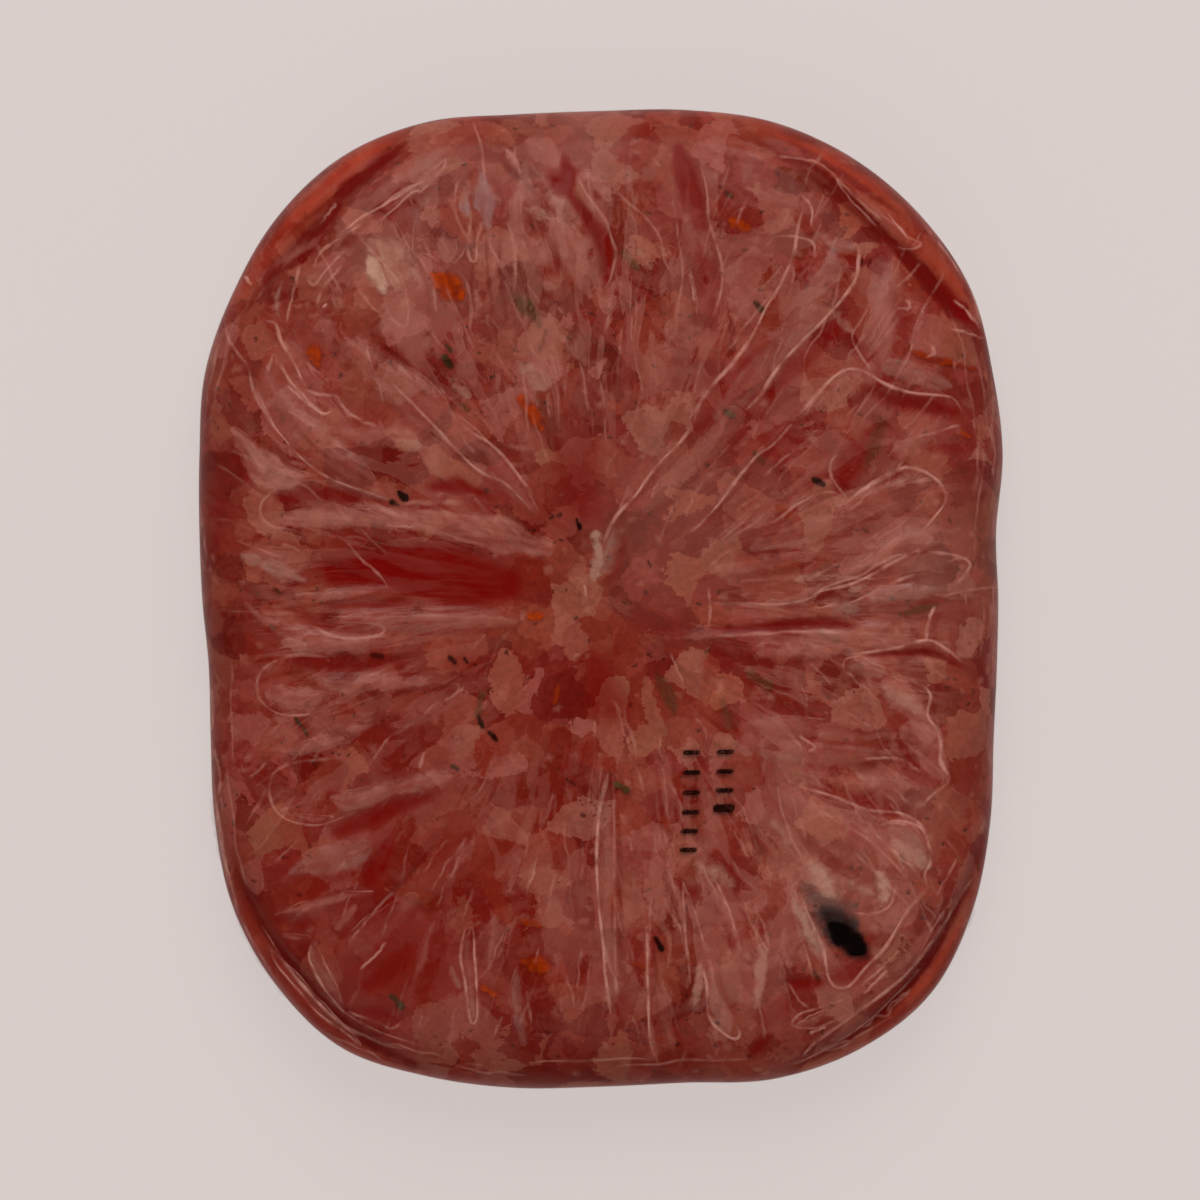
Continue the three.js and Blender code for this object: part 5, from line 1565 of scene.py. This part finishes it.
@dataclass
class StripCutter:
    """Cuts strips from one blank, lays each over a curve on the top and joins them to one piece."""

    across: int
    along: int
    blank: bpy.types.Object = field(init=False)
    strips: list[bpy.types.Object] = field(init=False)

    def start(self) -> np.ndarray:
        """Add the flat grid that every strip is copied from.

        Returns:
            The places of its points across and along it, each from -1 to 1.
        """
        bpy.ops.object.select_all(action="DESELECT")
        bpy.ops.mesh.primitive_grid_add(x_subdivisions=self.across, y_subdivisions=self.along, size=2.0)
        self.blank, self.strips = bpy.context.object, []
        self.blank.name = "strip_blank"
        return read_points(self.blank)[:, :2].T

    def cut(self, x: np.ndarray, y: np.ndarray, z: np.ndarray, **kept: Any) -> None:
        """Copy the blank with a mesh of its own and put it in its place.

        Args:
            x: places of its points across the pack, in millimetres.
            y: their places along.
            z: their heights.
            kept: what the finish reads, by name.
        """
        strip = self.blank.copy()
        strip.data = self.blank.data.copy()
        bpy.context.collection.objects.link(strip)
        write_points(strip, x, y, z)
        for name, values in kept.items():
            store(strip, name, values)
        self.strips.append(strip)

    def join(self, name: str, material: bpy.types.Material, clear: bool = False) -> bpy.types.Object:
        """Join the strips and dress them.

        Args:
            name: the joined piece's name.
            material: its finish.
            clear: whether it is clear film.

        Returns:
            The joined piece.
        """
        bpy.data.objects.remove(self.blank)
        bpy.ops.object.select_all(action="DESELECT")
        for strip in self.strips:
            strip.select_set(True)
        bpy.context.view_layer.objects.active = self.strips[0]
        bpy.ops.object.join()
        joined = bpy.context.object
        joined.name = joined.data.name = name
        smooth(joined)
        return dress(joined, material, clear)

    @staticmethod
    def lay(u: np.ndarray, t: np.ndarray, path: np.ndarray, wobble: np.ndarray) -> tuple[np.ndarray, ...]:
        """Place a strip's points over a curve.

        Args:
            u: places across the strip, from -1 to 1.
            t: places along it, from 0 to 1.
            path: even rows of x, y and width along the curve.
            wobble: how much wider than planned the strip is at even places along.

        Returns:
            Places across and along the pack, and half the strip's width there.
        """
        stations = np.linspace(0, 1, len(path))
        x0, y0, width, tx, ty = (np.interp(t, stations, column) for column in (*path.T, *heading(path).T))
        end = np.minimum(t, 1 - t) * steps_of(path).sum()
        cap = np.sqrt(np.clip(1 - np.clip(1 - end / np.maximum(width / 2, 0.3), 0, 1) ** 2, 0.0004, 1))
        ripple = np.interp(t, np.linspace(0, 1, len(wobble)), wobble)
        half = width / 2 * cap * (1 + ripple)
        return x0 - u * half * ty, y0 + u * half * tx, half


def shaded_side(path: np.ndarray) -> float:
    """Tell which side of a ridge lies away from the light: 1 for the left of its run, -1 for the right."""
    run = path[-1, :2] - path[0, :2]
    return 1.0 if -run[1] * 0.35 - run[0] > 0 else -1.0


def shifted(path: np.ndarray, sideways: float, width: float) -> np.ndarray:
    """Move a path sideways and give it another width.

    Args:
        path: even rows of x, y and width.
        sideways: how far to its left to move it, in millimetres.
        width: the new width.

    Returns:
        The new rows.
    """
    tangent = heading(path)
    x, y = path[:, 0] - sideways * tangent[:, 1], path[:, 1] + sideways * tangent[:, 0]
    return np.column_stack([x, y, np.full(len(path), width)])


@dataclass(frozen=True)
class Line:
    """A line on the film, as even rows of x, y and width, and how strongly it shows."""

    path: np.ndarray
    strength: float


@dataclass
class Crimps:
    """The fine crimps that the film has between its folds: along the gathers, and round the wall."""

    count: int = 330
    wall_count: int = 44
    points: int = 7
    width: float = 0.68
    wall_width: float = 0.6
    most_juice: float = 0.5
    kept_share: float = 0.55
    seed: int = 41
    lines: list[Line] = field(init=False)

    def __post_init__(self) -> None:
        """Draw the lines."""
        chance = np.random.default_rng(self.seed)
        self.lines = []
        while len(self.lines) < self.count:
            self.add_gathered(chance)
        for _ in range(self.wall_count):
            self.add_round(chance)

    def add_gathered(self, chance: np.random.Generator) -> None:
        """Draw one crimp along the gathers, where the film is slack enough for it.

        Args:
            chance: the source of its place, length and strength.
        """
        bearing, share = chance.uniform(0, math.tau), math.sqrt(chance.uniform(0.04, 0.86))
        length, strength, keep = 3 + 16 * chance.beta(1.2, 2.6), chance.uniform(0.08, 0.36), chance.random()
        wiggle, turn = np.cumsum(chance.normal(0, 0.025 * length, self.points)), chance.normal(0, 0.14)
        reach = float(FORM.reach(np.array([bearing]))[0]) * share
        x, y = np.array([reach * math.cos(bearing)]), np.array([reach * math.sin(bearing)])
        over_scrap = inside_by(x, y, SCRAP[1].path)[0] > -2
        kept_share = 1.0 if abs(y[0]) > END_BAND else self.kept_share
        if over_scrap or SURFACE.at(x, y).juice[0] > self.most_juice or keep > kept_share:
            return
        flow, cosine, sine = flow_at(x, y)[0], math.cos(turn), math.sin(turn)
        across, along = cosine * flow[0] - sine * flow[1], sine * flow[0] + cosine * flow[1]
        place = np.linspace(-0.5, 0.5, self.points) * length
        rows = np.column_stack([x + place * across - wiggle * along, y + place * along + wiggle * across,
                                np.full(self.points, self.width)])
        self.lines.append(Line(even_path(rows, 24), strength))

    def add_round(self, chance: np.random.Generator) -> None:
        """Draw one crimp round the shoulder or the wall.

        Args:
            chance: the source of its place, length and strength.
        """
        first, span = chance.uniform(0, math.tau), chance.uniform(0.06, 0.3)
        share = chance.uniform(0.93, 0.988)
        turn = math.degrees(first + span / 2) % 360
        if any(tuck.first < turn < tuck.last for tuck in TUCKS[:2]):
            return
        bearing = np.linspace(first, first + span, self.points)
        near = 0.5 - 0.5 * math.sin(first + span / 2)
        reach = FORM.reach(bearing) * (share + chance.normal(0, 0.003, self.points))
        rows = np.column_stack([reach * np.cos(bearing), reach * np.sin(bearing),
                                np.full(self.points, self.wall_width)])
        self.lines.append(Line(even_path(rows, 24), chance.uniform(0.08, 0.3) + 0.26 * near))


@dataclass
class FilmFolds:
    """The folds of slack film that stand off the mince, each a low blister with its own outline."""

    cutter: StripCutter = field(default_factory=lambda: StripCutter(10, 36))
    sunk: float = 0.05
    clear_of_film: float = 0.06
    dome_share: float = 0.06
    streak_width: float = 1.3
    streak_run: float = 9.0
    milk: float = 0.62
    seed: int = 11

    def build(self) -> bpy.types.Object:
        """Cut, lay and join the blisters."""
        chance = np.random.default_rng(self.seed)
        across, along = self.cutter.start()
        u, t = np.sin(across * np.pi / 2), (along + 1) / 2
        t = 0.5 * t + 0.5 * (0.5 - 0.5 * np.cos(np.pi * t))
        for order, fold in enumerate(FOLDS):
            path = even_path(fold.path, 48)
            x, y, half = self.cutter.lay(u, t, path, chance.normal(0, 0.1, 11))
            dome = fold.lift * self.dome_share * np.clip(1 - u**2, 0, 1) ** 0.75 * np.clip(half, 0, 1.5) / 1.5
            streaks = (u * half / self.streak_width, t * steps_of(path).sum() / self.streak_run,
                       np.full(len(u), 3.7 * order))
            # Painted highlight: side is high on the edge of the fold that faces the light, where the rim line
            # is drawn bright.
            self.cutter.cut(
                x, y, SURFACE.film_level(x, y) - self.sunk + dome + self.clear_of_film,
                edge_mm=(1 - np.abs(u)) * half, side=0.15 + 0.85 * ease(0.5 - 2 * shaded_side(path) * u),
                along=np.column_stack(streaks), tint=linear(fold.tint.value)[:3], haze=fold.haze * self.milk,
                rim=fold.rim, soft=fold.soft)
        return self.cutter.join("film_folds", SlackFilm().make(), clear=True)


@dataclass
class FilmCreases:
    """The sharp creases of the film and its fine crimps, each a thin ridge."""

    crimps: Crimps
    cutter: StripCutter = field(default_factory=lambda: StripCutter(4, 30))
    clear_of_film: float = 0.08
    height: float = 0.15
    slimming: float = 0.9
    shine: float = 0.6
    seed: int = 23

    def build(self) -> bpy.types.Object:
        """Cut, lay and join the ridges."""
        chance = np.random.default_rng(self.seed)
        u, along = self.cutter.start()
        t = (along + 1) / 2
        taper = ease(np.minimum(t, 1 - t) * 6)
        for line in self.lines(chance):
            x, y, half = self.cutter.lay(u, t, line.path, chance.normal(0, 0.2, 11))
            self.cutter.cut(
                x, y, SURFACE.film_level(x, y) + self.clear_of_film + self.height * (1 - u**2) * taper,
                bright=line.strength * self.shine * np.clip(1 - u**2, 0, 1) * (0.3 + 0.7 * taper))
        return self.cutter.join("film_creases", CreasedFilm().make(), clear=True)

    def lines(self, chance: np.random.Generator) -> list[Line]:
        """Roughen the creases a little and add the crimps.

        Args:
            chance: the source of the roughness.

        Returns:
            All the lines to lay.
        """
        lines = []
        even, coarse = np.linspace(0, 1, 60), np.linspace(0, 1, 13)
        for crease in CREASES:
            path = even_path([(*point, crease.width * self.slimming) for point in crease.path], 60)
            for axis in (0, 1):
                path[:, axis] += np.interp(even, coarse, chance.normal(0, 0.07, 13))
            lines.append(Line(path, crease.bright))
        return lines + self.crimps.lines


@dataclass(frozen=True)
class ShadeStrip:
    """A strip of painted shade: its path, how dark and how wet it is, and the width over which its edge
    fades.
    """

    path: np.ndarray
    depth: float
    wet: float
    soft: float


@dataclass
class PaintedShadeStrips:
    """Painted shade, as dark strips on the film: in the pinched gaps, on the shaded side of each crease and
    crimp, and on that of each fold.
    """

    crimps: Crimps
    cutter: StripCutter = field(default_factory=lambda: StripCutter(6, 24))
    sunk: float = 0.1
    widening: float = 0.5
    shade_wet: float = 0.9
    shade_width: float = 1.7
    seed: int = 31

    def build(self) -> bpy.types.Object:
        """Cut, lay and join the gaps."""
        chance = np.random.default_rng(self.seed)
        u, along = self.cutter.start()
        t = (along + 1) / 2
        taper = ease(np.minimum(t, 1 - t) * 5)
        for gap in self.gaps():
            x, y, half = self.cutter.lay(u, t, gap.path, chance.normal(0, 0.12, 9))
            self.cutter.cut(
                x, y, SURFACE.film_level(x, y) - self.sunk, edge_mm=(1 - np.abs(u)) * half,
                depth=gap.depth * (0.2 + 0.8 * taper), wet=gap.wet, soft=gap.soft)
        return self.cutter.join("painted_shade_strips", GapShadePaint().make(), clear=True)

    def gaps(self) -> list[ShadeStrip]:
        """Collect every strip of painted shade.

        Returns:
            The pinches as listed, and a narrow strip of painted shade on the shaded side of whatever stands
            up.
        """
        gaps = []
        for pinch in PINCHES:
            path = even_path(pinch.path, 40)
            path[:, 2] += self.widening
            gaps.append(ShadeStrip(path, pinch.depth, pinch.wet, 0.7))
        for crease in CREASES:
            path = even_path([(*point, 1.0) for point in crease.path], 40)
            aside = shifted(path, 0.62 * shaded_side(path), 1.25)
            gaps.append(ShadeStrip(aside, 0.3 * crease.bright, self.shade_wet, 0.6))
        for line in self.crimps.lines:
            aside = shifted(line.path, 0.5 * shaded_side(line.path), 1.0)
            gaps.append(ShadeStrip(aside, 0.36 * line.strength, self.shade_wet, 0.5))
        for fold in FOLDS:
            path = even_path(fold.path, 40)
            left = shifted(path, 1.0, 0.0)[:, :2] - path[:, :2]
            path[:, :2] += left * (shaded_side(path) * (path[:, 2] / 2 + 0.5))[:, None]
            path[:, 2] = self.shade_width
            gaps.append(ShadeStrip(path, 0.65 * fold.haze, self.shade_wet, 0.85))
        return gaps


@dataclass
class MinceBits:
    """All the bits of one kind in the face of the mince, each a low rounded flake."""

    name: str
    bits: tuple[Bit, ...]
    finish: SoakedBit
    rise: float = 0.1
    clear_of_mince: float = 0.08
    stacked: float = 0.0
    swelling: float = 1.12
    seed: int = 5
    cutter: StripCutter = field(default_factory=lambda: StripCutter(8, 12))

    def build(self) -> bpy.types.Object:
        """Cut, lay and join the flakes."""
        chance = np.random.default_rng(self.seed)
        u, along = self.cutter.start()
        t = 0.5 - 0.5 * np.cos(np.pi * (along + 1) / 2)
        for order, bit in enumerate(self.bits):
            rows = np.asarray(bit.path, float)
            rows[:, 2] = rows[:, 2] * self.swelling + 0.3 * bit.soft
            lead, trail = rows[1, :2] - rows[0, :2], rows[-1, :2] - rows[-2, :2]
            rows[0, :2] -= lead / np.hypot(*lead) * rows[0, 2] / 2
            rows[-1, :2] += trail / np.hypot(*trail) * rows[-1, 2] / 2
            x, y, half = self.cutter.lay(u, t, even_path(rows, 24), chance.normal(0, 0.1, 7))
            dome = self.rise * np.clip(1 - u**2, 0, 1) * np.clip(half, 0, 1)
            base = self.clear_of_mince + self.stacked * order
            self.cutter.cut(x, y, SURFACE.mince_level(x, y) + base + dome, edge_mm=(1 - np.abs(u)) * half,
                            cover=bit.cover, soft=bit.soft, tone=bit.tone)
        return self.cutter.join(self.name, self.finish.make())


@dataclass
class PrintedMarks:
    """Two columns of plain bars that a coder printed on the film: their places, length and width."""

    bars: tuple[tuple[float, float, float, float], ...] = (
        (16, -26.6, 3.4, 1), (16, -30.1, 3.4, 1), (15.9, -33.6, 3.4, 1), (15.8, -37, 3.4, 1),
        (15.6, -40.3, 3.4, 1), (15.4, -43.6, 3.4, 1), (21.9, -26.5, 3.4, 1), (21.8, -29.9, 3.4, 1),
        (21.7, -33.2, 3.4, 1), (21.6, -36.3, 4, 1.6), (26.8, -32.9, 0.8, 0.4),
    )
    clear_of_film: float = 0.25
    cutter: StripCutter = field(default_factory=lambda: StripCutter(4, 6))

    def build(self) -> bpy.types.Object:
        """Cut, lay and join the bars."""
        along, u = self.cutter.start()
        t = (along + 1) / 2
        for x0, y0, length, width in self.bars:
            x, y = x0 + (t - 0.5) * length, y0 + u * width / 2
            self.cutter.cut(x, y, SURFACE.film_level(x, y) + self.clear_of_film,
                            edge_mm=np.minimum((1 - np.abs(u)) * width / 2, np.minimum(t, 1 - t) * length))
        return self.cutter.join("printed_marks", PrintInk().make())


@dataclass(frozen=True)
class SoftBox:
    """A square soft light: its place and size in metres, its power in watts and its colour."""

    place: tuple[float, float, float]
    size: float
    power: float
    colour: str


@dataclass
class Studio:
    """A pale floor, two broad soft lights from above and a camera that looks straight down."""

    floor_colour: str = "6e6866"
    floor_glow: str = "ddd3d0"
    floor_glow_power: float = 0.78
    lights: tuple[SoftBox, ...] = (
        SoftBox((0.15, 1.9, 2.1), 2.1, 60.6, "fffaf7"),
        SoftBox((-0.6, -1.6, 2.0), 1.6, 12.0, "fffaf8"),
    )
    surroundings: float = 0.3
    distance: float = 3.0
    frame_width: float = 0.210
    frame_level: float = 0.014
    sensor: float = 36.0

    def build(self) -> None:
        """Set up floor, lights, surroundings and camera."""
        self.lay_floor()
        self.hang_lights()
        self.light_surroundings()
        self.place_camera()

    def lay_floor(self) -> None:
        """Lay the floor and mark it as stage."""
        bpy.ops.object.select_all(action="DESELECT")
        bpy.ops.mesh.primitive_plane_add(size=6.0)
        floor = bpy.context.object
        floor.name = "studio_floor"
        # A lit opal board: it glows a little, so that the pack's shadow on it is faint.
        material, _, shader = start_finish("opal_acrylic_lit")
        feed(shader, {"Base Color": linear(self.floor_colour), "Roughness": 0.9, "Specular IOR Level": 0.1,
                      "Emission Color": linear(self.floor_glow), "Emission Strength": self.floor_glow_power})
        floor.data.materials.append(material)

    def hang_lights(self) -> None:
        """Hang the soft boxes, each turned to the pack."""
        for light in self.lights:
            bpy.ops.object.light_add(type="AREA", location=light.place)
            lamp = bpy.context.object
            lamp.data.size, lamp.data.energy = light.size, light.power
            lamp.data.color = linear(light.colour)[:3]
            lamp.rotation_euler = (-lamp.location).to_track_quat("-Z", "Y").to_euler()

    def light_surroundings(self) -> None:
        """Set the surroundings, dimmest overhead, so that the flat top mirrors little of them."""
        world = bpy.data.worlds.new("studio")
        world.use_nodes = True
        tree = world.node_tree
        outward = add_node(tree, "TexCoord").outputs["Generated"]
        height = add_node(tree, "SeparateXYZ", {0: outward}).outputs["Z"]
        wall = add_node(tree, "ValToRGB", {0: height}, (
            (0.10, "b8b6b6"), (0.50, "ffffff"), (0.80, "b0aeae"), (0.95, "808080")))
        feed(tree.nodes["Background"], {"Color": wall, "Strength": self.surroundings})
        bpy.context.scene.world = world

    def place_camera(self) -> None:
        """Hang the camera over the pack, framed as the photograph is."""
        bpy.ops.object.camera_add(location=(-MIDDLE[0] * MM, -MIDDLE[1] * MM, self.distance))
        camera = bpy.context.object
        camera.data.sensor_width = self.sensor
        camera.data.lens = self.sensor * (self.distance - self.frame_level) / self.frame_width
        camera.data.clip_end = 20.0
        scene = bpy.context.scene
        scene.camera = camera
        scene.view_settings.view_transform = "Standard"
        scene.cycles.transparent_max_bounces = 24  # film, folds, creases and bits lie over each other


def main() -> None:
    """Build every sub-assembly in order and report each piece."""
    logging.basicConfig(level=logging.INFO, format="%(name)s: %(message)s")
    carrot = SoakedBit("carrot_diced_raw", "8c2206", "c84606")
    fat = SoakedBit("beef_fat_minced", "b86a55", "e0ac94")
    herb = SoakedBit("herb_leaf_chopped", "140302", "5c4a26")
    scrap = SoakedBit("offal_skin_dark", "020102", "58504e")
    crimps = Crimps()
    for assembly in (
        MinceSlab(),
        MinceBits("fat_bits", FAT, fat, clear_of_mince=0.08),
        MinceBits("carrot_bits", CARROT, carrot, clear_of_mince=0.1),
        MinceBits("herb_flecks", HERB, herb, clear_of_mince=0.13),
        MinceBits("dark_scrap", SCRAP, scrap, rise=0.05, clear_of_mince=0.09, stacked=0.04),
        FilmWrap(),
        PaintedShadeStrips(crimps),
        FilmFolds(),
        FilmCreases(crimps),
        PrintedMarks(),
    ):
        piece = assembly.build()
        LOG.info("%s: %d faces", piece.name, len(piece.data.polygons))
    Studio().build()


if __name__ == "__main__":
    main()
